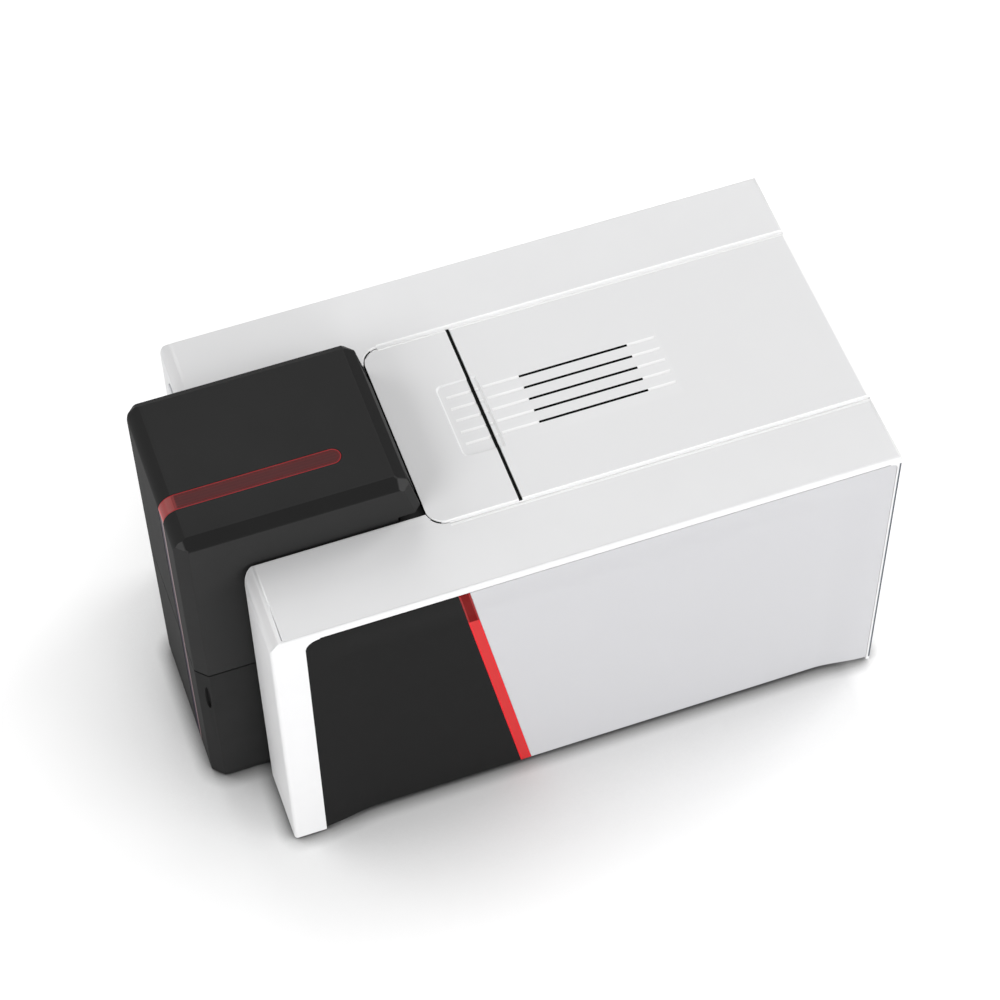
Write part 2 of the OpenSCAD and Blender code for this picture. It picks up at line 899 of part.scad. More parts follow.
module card_magazine() {
    m = magazine_half;
    tower = [feeder_hinge_y - 3, feeder_hinge_y - 0.5];
    tower_half = frame_half;
    lug_x = [38, 42.6];
    color([0.2, 0.2, 0.21])
        difference() {
            union() {
                intersection() {
                    translate([0, 0, deck_z])
                        linear_extrude(2)
                            gem_plan(wall + 0.9);
                    slab([-feeder_half, feeder_half], [front_y, tower[1]], [deck_z, deck_z + 2]);
                }
                slab([-tower_half, tower_half], [tower[0], bulkhead_y[0]], [deck_z, deck_z + 2]);
                slab([-m - wall, m + wall], [magazine_front - wall, magazine_rear + wall],
                    [deck_z, magazine_top]);
                slab([-tower_half, tower_half], tower, [deck_z, rail_top - 4]);
                both_sides() {
                    slab(lug_x, [feeder_hinge_y - 2.9, feeder_hinge_y + 2.9], [190, feeder_hinge_z]);
                    bar_x(lug_x, feeder_hinge_y, feeder_hinge_z, 2.9);
                    slab([m, m + wall], [feed_y - 6, feed_y + 6], [roller_z - 6, deck_z + 1]);
                }
            }
            slab([-m, m], [magazine_front, magazine_rear], [magazine_floor, magazine_top + over]);
            slab([-m, m], [magazine_front - wall - over, magazine_rear + wall + over],
                [deck_z + 2, magazine_floor - wall]);
            slab([-m, m], [magazine_rear - over, magazine_rear + wall + over],
                [magazine_floor, magazine_floor + gate_h]);
            slab([-m, m], [tower[0] - over, tower[1] + over], [magazine_floor - 1, magazine_floor + 5]);
            slab([-16, 16], [magazine_front - wall - over, magazine_front + over],
                [magazine_floor + 9, magazine_top + over]);
            both_sides()
                slab([m - over, m + wall + over], [magazine_front + 40, magazine_front + 45],
                    [magazine_floor + 2, magazine_top + over]);
            slab([-m + 1, m - 1], [feed_y - 7, feed_y + 7], [roller_z - 20, magazine_floor + over]);
            bar_x([-m - wall - over, m + wall + over], feed_y, roller_z, shaft_r + running);
            both_sides()
                slab([m + wall, feeder_half], [feed_y - 7, feed_y + 7], [deck_z - over, deck_z + 3]);
            slab([-feeder_half, -frame_half], [feed_y - 8, feeder_rear + 5], [deck_z - over, roller_z + 9]);
            bar_x([-43, 43], feeder_hinge_y, feeder_hinge_z, pin_r + 0.02);
        }
}

module card_stack() {
    color([0.96, 0.96, 0.95])
        slab([-card_w / 2, card_w / 2], [magazine_rear - 1 - card_l, magazine_rear - 1],
            [stack_z, stack_z + stack_h]);
}

module card_pusher() {
    z0 = stack_z + stack_h + 0.05;
    guide_y = [magazine_front + 40.5, magazine_front + 44.5];
    color([0.3, 0.3, 0.32])
        difference() {
            union() {
                slab([-card_w / 2 + 1, card_w / 2 - 1], [magazine_front + 8, magazine_rear - 8], [z0, z0 + 6]);
                slab([-magazine_half - wall + 0.5, magazine_half + wall - 0.5], guide_y, [z0, z0 + 6]);
                slab([-9, 9], [guide_y[0] - 14, guide_y[1] + 14], [z0 + 5.9, z0 + 9]);
                slab([-9, 9], [guide_y[0], guide_y[1]], [z0 + 8.9, z0 + 18]);
            }
            slab([-6, 6], [guide_y[0] - 10, guide_y[0] - 3], [z0 + 2, z0 + 10]);
            slab([-6, 6], [guide_y[1] + 3, guide_y[1] + 10], [z0 + 2, z0 + 10]);
        }
}

module card_gauge() {
    y0 = magazine_rear + wall + 0.1;
    color([0.75, 0.5, 0.12]) {
        slab([-9, 9], [y0, y0 + 1.6], [magazine_floor + gate_h - 0.6, magazine_floor + 34]);
        slab([-5, 5], [y0 + 1.5, y0 + 6], [magazine_floor + 28, magazine_floor + 31]);
    }
}

module feed_roller() {
    color([0.35, 0.35, 0.36]) {
        bar_x([feed_pulley_x[0], magazine_half + wall + 2], feed_y, roller_z, shaft_r);
        bar_x([-14, 14], feed_y, roller_z, stack_z - nip - roller_z);
        bar_x(feed_pulley_x, feed_y, roller_z, feed_pulley_r);
    }
}

// ---- Hopper ----

module hopper_tray() {
    m = magazine_half;
    tray_y = [front_y + 6, bulkhead_y[0]];
    rear = front_y + 98;
    ear_x = [hopper_hinge_x - 1.1, -m];
    color([0.14, 0.14, 0.14])
        difference() {
            union() {
                intersection() {
                    translate([0, 0, case_z])
                        linear_extrude(plinth_z - case_z)
                            gem_plan(0.2);
                    slab([-feeder_half, feeder_half], [front_y, bulkhead_y[0]], [case_z, plinth_z]);
                }
                slab([-m - wall, m + wall], [tray_y[0], rear], [plinth_z - 0.1, 60]);
                both_sides()
                    slab([m, m + wall], [rear - 1, tray_y[1]], [plinth_z - 0.1, 60]);
                slab([-m - wall, -m], [hopper_hinge_y - 7, hopper_hinge_y + 7], [plinth_z, 103]);
                slab(ear_x, [hopper_hinge_y - 3.2, hopper_hinge_y + 1.4], [99, 103]);
            }
            slab([-m, m], [tray_y[0] + wall, rear - wall], [tray_z + wall, 104]);
            slab([-m, m], [tray_y[0] + wall, rear - wall], [plinth_z, tray_z]);
            slab([-17, 17], [tray_y[0] - over, tray_y[0] + wall + over], [24, 104]);
            bar_z(hopper_hinge_x, hopper_hinge_y, [case_z - over, 110], pin_r + 0.02);
        }
}

module hopper_hinge_rod() {
    color("silver")
        bar_z(hopper_hinge_x, hopper_hinge_y, [case_z + 0.2, 104], pin_r);
}

module hopper_door() {
    rear = column_y + 1.5;
    knuckles = [[20, 30], [85, 95]];
    color([0.13, 0.13, 0.13])
        difference() {
            union() {
                translate([0, 0, door_z0])
                    linear_extrude(door_z1 - door_z0)
                        difference() {
                            gem_plan(0);
                            gem_plan(wall);
                            translate([-feeder_half - over, rear])
                                square([feeder_w + 2 * over, body_d]);
                        }
                for (z = knuckles) {
                    slab([-feeder_half + wall - 0.1, hopper_hinge_x],
                        [hopper_hinge_y - 3, hopper_hinge_y + 3], z);
                    bar_z(hopper_hinge_x, hopper_hinge_y, z, 3.2);
                }
            }
            window_solid(0.05, [-over, door_z1 + over]);
            bar_z(hopper_hinge_x, hopper_hinge_y, [door_z0, door_z1], pin_r + running);
            slab([feeder_half - 4, feeder_half + over], [front_y + 2.4, front_y + 5.8], notch_z);
        }
}

module hopper_window() {
    color([0.75, 0.1, 0.12, 0.6])
        window_solid(0, [door_z0, door_z1]);
}

module output_cards() {
    z0 = tray_z + wall + 0.05;
    color([0.96, 0.96, 0.95])
        slab([-card_w / 2, card_w / 2], [front_y + 9.2, front_y + 9.2 + card_l], [z0, z0 + 12 * card_t]);
}

// ---- Transport ----

module card_track() {
    m = magazine_half;
    top = track_z - 0.4;
    window = card_w / 2;
    chute_y = entry_y + 30;
    color([0.3, 0.31, 0.33])
        difference() {
            union() {
                slab([-m - wall, m + wall], [frame_front, tail_y + 15], [top - deck_t, top]);
                both_sides()
                    slab([m, m + wall], [frame_front, tail_y + 15], [top - 0.1, track_z + 1]);
                for (y = [chute_y, platen_y + 17, rear_transport_y + 17, tail_y + 9])
                    slab([-frame_half, frame_half], [y, y + 6], [top - 9, top - deck_t + 0.1]);
                // Printed cards slide down this chute, under the entry roller, to the exit slot
                extrude_x([-m - 2, m + 2])
                    polygon([[frame_front + 0.05, exit_z + 0.2], [chute_y + 3, top - 9],
                        [chute_y + 3, top - 9 + chute_t], [frame_front + 0.05, exit_z + 0.2 + chute_t]]);
            }
            slab([-window, window], [entry_y + drive_r + 2, chute_y - 1], [top - 4, top + over]);
            for (y = drive_y)
                slab([-window, window], [y - drive_r - 0.8, y + drive_r + 0.8], [top - 4, top + over]);
        }
}

module frame_plate(x) {
    difference() {
        extrude_x(x)
            difference() {
                translate([frame_front, case_z + wall])
                    square([frame_rear - frame_front, frame_top - case_z - wall]);
                translate([frame_front + 14, case_z + wall - over])
                    square([76, 85]);
                translate([board_y[0] + 2, case_z + wall - over])
                    square([frame_rear - board_y[0] - 14, 87]);
                for (y = [takeup_y, supply_y]) {
                    translate([y, spool_z])
                        circle(r = 3 + running);
                    translate([y - 3 - running, spool_z])
                        square([6 + 2 * running, frame_top - spool_z + over]);
                }
            }
        for (y = drive_y)
            bar_x([x[0] - over, x[1] + over], y, roller_z, bush_r + 0.02);
        for (y = pinch_y)
            bar_x([x[0] - over, x[1] + over], y, pinch_z, pinch_bush_r + 0.02);
        bar_x([x[0] - over, x[1] + over], entry_y, cleaner_z, pinch_bush_r + 0.02);
        bar_x([x[0] - over, x[1] + over], platen_y, motor_z, 11.05);
    }
}

module left_frame_plate() {
    post_r = 3;
    color([0.66, 0.67, 0.69]) {
        frame_plate([-frame_half - plate_t, -frame_half]);
        // The post that the long belt's lower run rides on
        bar_x([pulley_x[0] + 0.5, -frame_half - 0.5], tail_y - 20,
            roller_z - drive_r - nip + post_r + 0.05, post_r);
    }
}

module right_frame_plate() {
    color([0.66, 0.67, 0.69])
        frame_plate([frame_half, frame_half + plate_t]);
}

// A flanged bush in a frame plate
module bush(y, z, outer, inner) {
    difference() {
        union() {
            bar_x([frame_half - 0.8, frame_half + plate_t + 0.6], y, z, outer);
            bar_x([frame_half - 0.8, frame_half], y, z, outer + 1.2);
        }
        bar_x([frame_half - 2, frame_half + plate_t + 2], y, z, inner);
    }
}

module shaft_bushes() {
    color([0.72, 0.55, 0.25])
        both_sides() {
            for (y = drive_y)
                bush(y, roller_z, bush_r, shaft_r + running);
            for (y = pinch_y)
                bush(y, pinch_z, pinch_bush_r, pinch_shaft_r + running);
            bush(entry_y, cleaner_z, pinch_bush_r, pinch_shaft_r + running);
        }
}

// A driven shaft with two rubber sleeves and a belt pulley at its left end
module drive_roller(y, sleeve) {
    right_end = frame_half + plate_t + 3;
    bar_x([pulley_x[0] - 0.5, right_end], y, roller_z, shaft_r);
    bar_x(sleeve, y, roller_z, drive_r);
    mirror([1, 0, 0])
        bar_x(sleeve, y, roller_z, drive_r);
    bar_x(pulley_x, y, roller_z, drive_r);
    bar_x([right_end - 1.2, right_end - 0.4], y, roller_z, shaft_r + 1.3);
}

module entry_roller() {
    color([0.15, 0.15, 0.16]) {
        drive_roller(entry_y, [5, 23]);
        bar_x(feed_pulley_x, entry_y, roller_z, feed_pulley_r);
    }
}

module front_transport_roller() {
    color([0.15, 0.15, 0.16])
        drive_roller(front_transport_y, [5, 23]);
}

module rear_transport_roller() {
    color([0.15, 0.15, 0.16])
        drive_roller(rear_transport_y, [5, 23]);
}

module tail_roller() {
    color([0.15, 0.15, 0.16])
        drive_roller(tail_y, [5, 23]);
}

module platen_roller() {
    color([0.15, 0.15, 0.16]) {
        drive_roller(platen_y, [-26, 26]);
        translate([gear_x[0], platen_y, roller_z])
            rotate([0, 90, 0])
                rotate(platen_phase)
                    gear(platen_teeth, gear_x[1] - gear_x[0]);
    }
}

module cleaning_roller() {
    color([0.3, 0.55, 0.8]) {
        bar_x([-frame_half - plate_t - 2, frame_half + plate_t + 2], entry_y, cleaner_z, pinch_shaft_r);
        bar_x([-card_w / 2 + 0.5, card_w / 2 - 0.5], entry_y, cleaner_z, cleaner_r);
    }
}

module pinch_roller(y) {
    bar_x([-frame_half - plate_t - 2, frame_half + plate_t + 2], y, pinch_z, pinch_shaft_r);
    both_sides()
        bar_x([6, 22], y, pinch_z, pinch_r);
}

module front_pinch_roller() {
    color([0.7, 0.7, 0.72])
        pinch_roller(front_transport_y);
}

module rear_pinch_roller() {
    color([0.7, 0.7, 0.72])
        pinch_roller(rear_transport_y);
}

module tail_pinch_roller() {
    color([0.7, 0.7, 0.72])
        pinch_roller(tail_y);
}

// A closed belt around the pulleys from a to b
module belt_loop(x, a, b, pulley_radius) {
    inner = pulley_radius + nip;
    outer = inner + 1.2;
    difference() {
        union() {
            slab(x, [a, b], [roller_z - outer, roller_z + outer]);
            bar_x(x, a, roller_z, outer);
            bar_x(x, b, roller_z, outer);
        }
        slab([x[0] - over, x[1] + over], [a, b], [roller_z - inner, roller_z + inner]);
        bar_x([x[0] - over, x[1] + over], a, roller_z, inner);
        bar_x([x[0] - over, x[1] + over], b, roller_z, inner);
    }
}

module drive_belts() {
    color([0.08, 0.08, 0.08]) {
        belt_loop([pulley_x[0] + 0.5, pulley_x[1] - 0.5], entry_y, tail_y, drive_r);
        belt_loop([feed_pulley_x[0] + 0.2, feed_pulley_x[1] - 0.2], feed_y, entry_y, feed_pulley_r);
    }
}

// ---- Gears and motors ----

function involute(angle) = tan(angle) * 180 / PI - angle;
function flank_angle(pitch_r, r, half) =
    half + involute(pressure) - involute(acos(min(1, pitch_r * cos(pressure) / r)));

module gear(teeth, thick) {
    pitch_r = gear_m * teeth / 2;
    base_r = pitch_r * cos(pressure);
    root_r = pitch_r - 1.2 * gear_m;
    tip_r = pitch_r + 0.8 * gear_m;
    backlash = 0.08;
    half = 90 / teeth - backlash / pitch_r * 90 / PI;
    low = max(base_r, root_r + 0.05);
    radii = ramp(low, tip_r, 4);
    linear_extrude(thick) {
        circle(r = root_r);
        for (i = [0:teeth - 1])
            rotate(i * 360 / teeth)
                polygon(concat([[root_r - 0.4, -root_r * sin(flank_angle(pitch_r, low, half))]],
                    [for (r = radii) r * [cos(flank_angle(pitch_r, r, half)), -sin(flank_angle(pitch_r, r, half))]],
                    [for (j = [4:-1:0]) radii[j] * [cos(flank_angle(pitch_r, radii[j], half)),
                        sin(flank_angle(pitch_r, radii[j], half))]],
                    [[root_r - 0.4, root_r * sin(flank_angle(pitch_r, low, half))]]));
    }
}

module motor_pinion() {
    color([0.75, 0.76, 0.78]) {
        translate([gear_x[0], platen_y, motor_z])
            rotate([0, 90, 0])
                rotate(pinion_phase)
                    gear(pinion_teeth, gear_x[1] - gear_x[0]);
        bar_x([gear_x[1] - 1, -frame_half + 20], platen_y, motor_z, shaft_r);
    }
}

module drive_motor() {
    half = motor_side / 2;
    color([0.12, 0.12, 0.13])
        difference() {
            union() {
                slab([-frame_half, -frame_half + 34], [platen_y - half, platen_y + half],
                    [motor_z - half, motor_z + half]);
                bar_x([-frame_half - plate_t, -frame_half + 1], platen_y, motor_z, 11);
            }
            for (dy = [-1, 1], dz = [-1, 1])
                translate([-frame_half - 3, platen_y + dy * half, motor_z + dz * half])
                    rotate([45, 0, 0])
                        translate([0, -3, -3])
                            cube([40, 6, 6]);
            bar_x([-frame_half - 3, -frame_half + 21], platen_y, motor_z, shaft_r + running);
        }
}

// ---- Ribbon ----

module spool(y, roll) {
    bar_x([-frame_half - plate_t - 2, frame_half + plate_t + 5], y, spool_z, 3);
    bar_x([-30, 30], y, spool_z, spool_core);
    bar_x([-film_half - 0.2, film_half + 0.2], y, spool_z, roll);
    both_sides()
        bar_x([29, 30.6], y, spool_z, roll + 4.5);
}

module ribbon_supply_spool() {
    color([0.45, 0.1, 0.4])
        spool(supply_y, supply_roll);
}

module ribbon_takeup_spool() {
    color([0.1, 0.1, 0.1]) {
        spool(takeup_y, takeup_roll);
        bar_x([frame_half + plate_t + 2, frame_half + plate_t + 6.5], takeup_y, spool_z, 5);
    }
}

module takeup_motor() {
    plate_x = frame_half + plate_t + 7;
    color([0.6, 0.61, 0.63]) {
        slab([plate_x, plate_x + 1.5], [takeup_y - 14, takeup_y + 14], [spool_z - 10, spool_z + 10]);
        bar_x([plate_x + 1.4, band_half - 0.4], takeup_y, spool_z, 8);
        for (side = [-1, 1])
            bar_x([frame_half + plate_t, plate_x + 0.1], takeup_y + side * 11, spool_z - 6, 2.5);
    }
}

// The slope of the lower common tangent of two circles, and the points where it leaves them
function tangent_slope(a, ra, b, rb) = atan2(b[1] - a[1], b[0] - a[0]) - asin((rb - ra) / norm(b - a));
function tangent(a, ra, b, rb) =
    let (at = tangent_slope(a, ra, b, rb), n = [sin(at), -cos(at)])
    [a + ra * n, b + rb * n];

module film_strip(ends) {
    along = (ends[1] - ends[0]) / norm(ends[1] - ends[0]);
    up = film_t * [-along[1], along[0]];
    extrude_x([-film_half, film_half])
        polygon([ends[0] - 0.05 * along, ends[1] + 0.05 * along, ends[1] + 0.05 * along + up,
            ends[0] - 0.05 * along + up]);
}

// The film's wrap under a guide bar, and its straight run up to a roll
module film_run(bar, roll, roll_r) {
    reach = guide_bar_r + nip + film_t;
    slope = tangent_slope(bar, reach, roll, roll_r);
    turns = ramp(-90, slope - 90, 6);
    film_strip(tangent(bar, reach, roll, roll_r));
    extrude_x([-film_half, film_half])
        polygon(concat([for (t = turns) bar + reach * [cos(t), sin(t)]],
            [for (i = [6:-1:0]) bar + (reach - film_t) * [cos(turns[i]), sin(turns[i])]]));
}

module ribbon_film() {
    bar_z0 = film_z + film_t + nip + guide_bar_r;
    spread = 13.5;
    color([0.35, 0.08, 0.3]) {
        film_strip([[platen_y - spread, film_z], [platen_y + spread, film_z]]);
        film_run([platen_y + spread, bar_z0], [supply_y, spool_z], supply_roll + nip + film_t);
        mirror([0, 1, 0])
            film_run([spread - platen_y, bar_z0], [-takeup_y, spool_z], takeup_roll + nip + film_t);
    }
}

// ---- Electronics and rear fittings ----

module main_board() {
    top = board_z + 1.6;
    color([0.1, 0.4, 0.2])
        difference() {
            union() {
                slab([-board_half, board_half], board_y, [board_z, top]);
                slab([-12, 6], [board_y[0] + 30, board_y[0] + 48], [top - 0.1, top + 2]);
                slab([14, 26], [board_y[0] + 22, board_y[0] + 30], [top - 0.1, top + 1.6]);
                slab([14, 26], [board_y[0] + 42, board_y[0] + 50], [top - 0.1, top + 1.6]);
                for (i = [0:6])
                    slab([-30 + i * 3, -29 + i * 3], [board_y[0] + 62, board_y[0] + 84],
                        [top - 0.1, top + 14]);
                slab([-31, -10], [board_y[0] + 62, board_y[0] + 84], [top - 0.1, top + 3]);
                for (x = [4, 17])
                    bar_z(x, board_y[1] - 12, [top - 0.1, top + 14], 5);
                for (x = [-26, -8, 10])
                    slab([x - 6, x + 6], [board_y[0] + 8, board_y[0] + 14], [top - 0.1, top + 8]);
            }
            for (x = [-34, 34], y = board_y)
                bar_z(x, y + (y > 120 ? -6 : 6), [board_z - over, top + over], 1.6);
        }
}

module cooling_fan() {
    half = fan_side / 2;
    y = [rear_y - wall - 10.2, rear_y - wall - 0.2];
    color([0.09, 0.09, 0.1])
        difference() {
            union() {
                difference() {
                    slab([fan_x - half, fan_x + half], y, [fan_z - half, fan_z + half]);
                    bar_y(fan_x, [y[0] - over, y[1] + over], fan_z, half - 1.5);
                }
                bar_y(fan_x, [y[0], y[0] + 1.2], fan_z, 8);
                for (turn = [45, 135])
                    translate([fan_x, 0, fan_z])
                        rotate([0, turn, 0])
                            slab([-half + 0.5, half - 0.5], [y[0], y[0] + 1.2], [-1.2, 1.2]);
            }
            bar_y(fan_x, [y[0] - over, y[1] + over], fan_z, 1.05);
            for (dx = [-1, 1], dz = [-1, 1])
                bar_y(fan_x + dx * (half - 4), [y[0] - over, y[1] + over], fan_z + dz * (half - 4), 1.6);
        }
}

module fan_rotor() {
    y0 = rear_y - wall - 8.7;
    blade_r = fan_side / 2 - 2.4;
    color([0.16, 0.16, 0.17]) {
        bar_y(fan_x, [y0, y0 + 7.6], fan_z, 7.5);
        bar_y(fan_x, [y0 - 1.4, y0 + 0.1], fan_z, 1);
        for (i = [0:6])
            translate([fan_x, y0 + 3.8, fan_z])
                rotate([0, i * 360 / 7, 0])
                    rotate([40, 0, 0])
                        translate([6.5, -0.6, -4.2])
                            cube([blade_r - 6.9, 1.2, 8.4]);
    }
}

module data_ports() {
    depth = [rear_y - 18, rear_y - 0.2];
    color([0.7, 0.71, 0.73]) {
        difference() {
            slab([usb_x - 6.5, usb_x + 6.5], depth, [port_z - 6, port_z + 6]);
            slab([usb_x - 4.3, usb_x + 4.3], [rear_y - 12, rear_y], [port_z - 4, port_z + 4]);
        }
        slab([usb_x - 2.8, usb_x + 2.8], [rear_y - 12.1, rear_y - 3], [port_z - 1.6, port_z + 1.6]);
        difference() {
            slab([network_x - 8.5, network_x + 8.5], depth, [port_z - 7.5, port_z + 7.5]);
            slab([network_x - 6, network_x + 6], [rear_y - 14, rear_y], [port_z - 4.5, port_z + 4]);
            slab([network_x - 2.5, network_x + 2.5], [rear_y - 14, rear_y], [port_z - 6, port_z - 4]);
        }
    }
    color([0.1, 0.4, 0.2])
        slab([usb_x - 10, network_x + 12], [rear_y - 40, rear_y - 5], [port_z - 9.2, port_z - 7.5]);
}

module power_inlet() {
    color([0.1, 0.1, 0.1])
        difference() {
            slab([inlet_x - 7, inlet_x + 7], [rear_y - 16, rear_y - 0.2], [port_z - 6, port_z + 6]);
            bar_y(inlet_x, [rear_y - 11, rear_y], port_z, 3.2);
        }
    color("silver")
        bar_y(inlet_x, [rear_y - 11.5, rear_y - 2], port_z, 0.95);
}

module power_switch() {
    half = 9.6;
    color([0.08, 0.08, 0.08])
        translate([switch_x, rear_y - 3.5, port_z])
            rotate([5, 0, 0]) {
                slab([-6.3, 6.3], [-4, 1.3], [-half, half]);
                bar_x([-6.3, 6.3], 0, 0, 3.5);
            }
}

module control_button() {
    color([0.85, 0.86, 0.87]) {
        bar_y(button_x, [column_y - 0.8, column_y + 1.6], button_z, button_r);
        bar_y(button_x, [column_y + 1.5, column_y + 9], button_z, 2.5);
    }
}

module status_lenses() {
    color([0.75, 0.85, 0.8])
        for (z = lens_z)
            bar_y(button_x, [column_y - 0.2, column_y + wall + 0.5], z, 1.5);
}

base_tray();
rubber_feet();
left_side_casing();
right_side_casing();
left_front_panel();
right_front_panel();
left_accent_stripe();
right_accent_stripe();
left_rear_side_panel();
right_rear_side_panel();
rear_panel();
front_bridge_cover();
front_bulkhead();
left_frame_plate();
right_frame_plate();
hinge_crossmember();
hood_hinge_pin();
hood();
print_head_bracket();
print_head();
feeder_cover();
feeder_window();
feeder_hinge_rod();
card_magazine();
card_stack();
card_pusher();
card_gauge();
feed_roller();
hopper_tray();
hopper_door();
hopper_window();
hopper_hinge_rod();
output_cards();
card_track();
shaft_bushes();
entry_roller();
front_transport_roller();
platen_roller();
rear_transport_roller();
tail_roller();
cleaning_roller();
front_pinch_roller();
rear_pinch_roller();
tail_pinch_roller();
drive_belts();
drive_motor();
motor_pinion();
ribbon_supply_spool();
ribbon_takeup_spool();
takeup_motor();
ribbon_film();
main_board();
cooling_fan();
fan_rotor();
data_ports();
power_inlet();
power_switch();
control_button();
status_lenses();
casing_screws();
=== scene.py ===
"""Looks of a desktop card printer: finishes, shells, mechanism, studio and camera.

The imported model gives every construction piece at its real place. This script gives each one its
finish, rebuilds the outer shells with their soft edges, and sets up a plain studio round them.
Lengths in the classes are millimetres, and Form turns them into metres.
"""

import json
import logging
import math
from collections.abc import Callable, Iterable, Sequence
from dataclasses import dataclass
from enum import Enum

import bmesh
import bpy
from mathutils import Matrix, Vector

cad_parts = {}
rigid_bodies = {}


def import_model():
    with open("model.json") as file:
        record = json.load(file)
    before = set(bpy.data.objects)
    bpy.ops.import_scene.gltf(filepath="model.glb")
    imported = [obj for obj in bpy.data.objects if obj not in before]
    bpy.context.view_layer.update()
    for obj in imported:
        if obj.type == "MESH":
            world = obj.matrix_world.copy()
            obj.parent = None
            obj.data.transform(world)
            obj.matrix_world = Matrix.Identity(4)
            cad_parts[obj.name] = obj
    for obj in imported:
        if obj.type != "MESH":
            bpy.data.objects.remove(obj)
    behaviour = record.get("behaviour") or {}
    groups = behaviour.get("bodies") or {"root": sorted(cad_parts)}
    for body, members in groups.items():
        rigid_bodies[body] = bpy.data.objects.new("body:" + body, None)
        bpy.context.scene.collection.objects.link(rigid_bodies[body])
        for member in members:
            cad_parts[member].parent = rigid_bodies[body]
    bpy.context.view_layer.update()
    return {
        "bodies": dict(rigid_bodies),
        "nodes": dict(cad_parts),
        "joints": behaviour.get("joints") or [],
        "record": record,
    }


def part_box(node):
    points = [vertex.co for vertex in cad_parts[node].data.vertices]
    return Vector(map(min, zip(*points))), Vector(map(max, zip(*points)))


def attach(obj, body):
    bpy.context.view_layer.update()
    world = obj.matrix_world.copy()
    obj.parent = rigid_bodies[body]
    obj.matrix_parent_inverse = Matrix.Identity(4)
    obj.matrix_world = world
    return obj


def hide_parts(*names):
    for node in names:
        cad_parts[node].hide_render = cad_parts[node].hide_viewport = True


MM = 0.001
PAST = 5.0  # How far a cutter goes past what it cuts, in mm
log = logging.getLogger("card_printer")

Span = tuple[float, float]
Point = tuple[float, float, float]
Colour = tuple[float, float, float]
Outline = Sequence[tuple[float, float]]
Socket = bpy.types.NodeSocket
FaceTest = Callable[[Vector, Vector], bool]


# ---------------------------------------------------------------- finishes


class Pattern(Enum):
    """How the fine relief of a surface lies."""

    GRAIN = "grain"
    BRUSHED = "brushed"
    TURNED = "turned"
    TRACES = "traces"
    RIBS = "ribs"
    WEAVE = "weave"


class Graph:
    """A small builder for one node tree."""

    def __init__(self, owner: bpy.types.Material | bpy.types.World) -> None:
        """Clears the tree of a material or a world.

        Args:
            owner: The material or the world.
        """
        owner.use_nodes = True
        self.tree = owner.node_tree
        self.tree.nodes.clear()

    def add(self, kind: str, **sockets: object) -> bpy.types.Node:
        """Adds a node and sets its input sockets.

        Args:
            kind: The node's type name, without its ShaderNode prefix.
            **sockets: Input values by socket name, with _ for a space.

        Returns:
            The new node.
        """
        node = self.tree.nodes.new("ShaderNode" + kind)
        for name, value in sockets.items():
            node.inputs[name.replace("_", " ")].default_value = value
        return node

    def wire(self, source: Socket, target: Socket) -> None:
        """Links an output socket to an input socket."""
        self.tree.links.new(source, target)

    def math(self, operation: str, first: Socket, second: Socket) -> Socket:
        """Joins two signals.

        Args:
            operation: The Math node's operation.
            first: One signal.
            second: The other signal.

        Returns:
            The joined signal.
        """
        node = self.add("Math")
        node.operation = operation
        self.wire(first, node.inputs[0])
        self.wire(second, node.inputs[1])
        return node.outputs[0]

    def ramp(self, source: Socket, to: Span = (0.0, 1.0), since: Span = (0.0, 1.0)) -> Socket:
        """Maps a signal from one range onto another.

        Args:
            source: The signal.
            to: The values at both ends.
            since: The signal at both ends.

        Returns:
            The mapped signal.
        """
        node = self.add(
            "MapRange", From_Min=since[0], From_Max=since[1], To_Min=to[0], To_Max=to[1]
        )
        self.wire(source, node.inputs["Value"])
        return node.outputs["Result"]

    def blend(self, factor: Socket, low: Colour, high: Colour) -> Socket:
        """Mixes two colours by a signal.

        Args:
            factor: The signal, 0 to 1.
            low: The colour at 0.
            high: The colour at 1.

        Returns:
            The mixed colour.
        """
        node = self.tree.nodes.new("ShaderNodeMix")
        node.data_type = "RGBA"
        node.inputs["A"].default_value = (*low, 1.0)
        node.inputs["B"].default_value = (*high, 1.0)
        self.wire(factor, node.inputs["Factor"])
        return node.outputs["Result"]


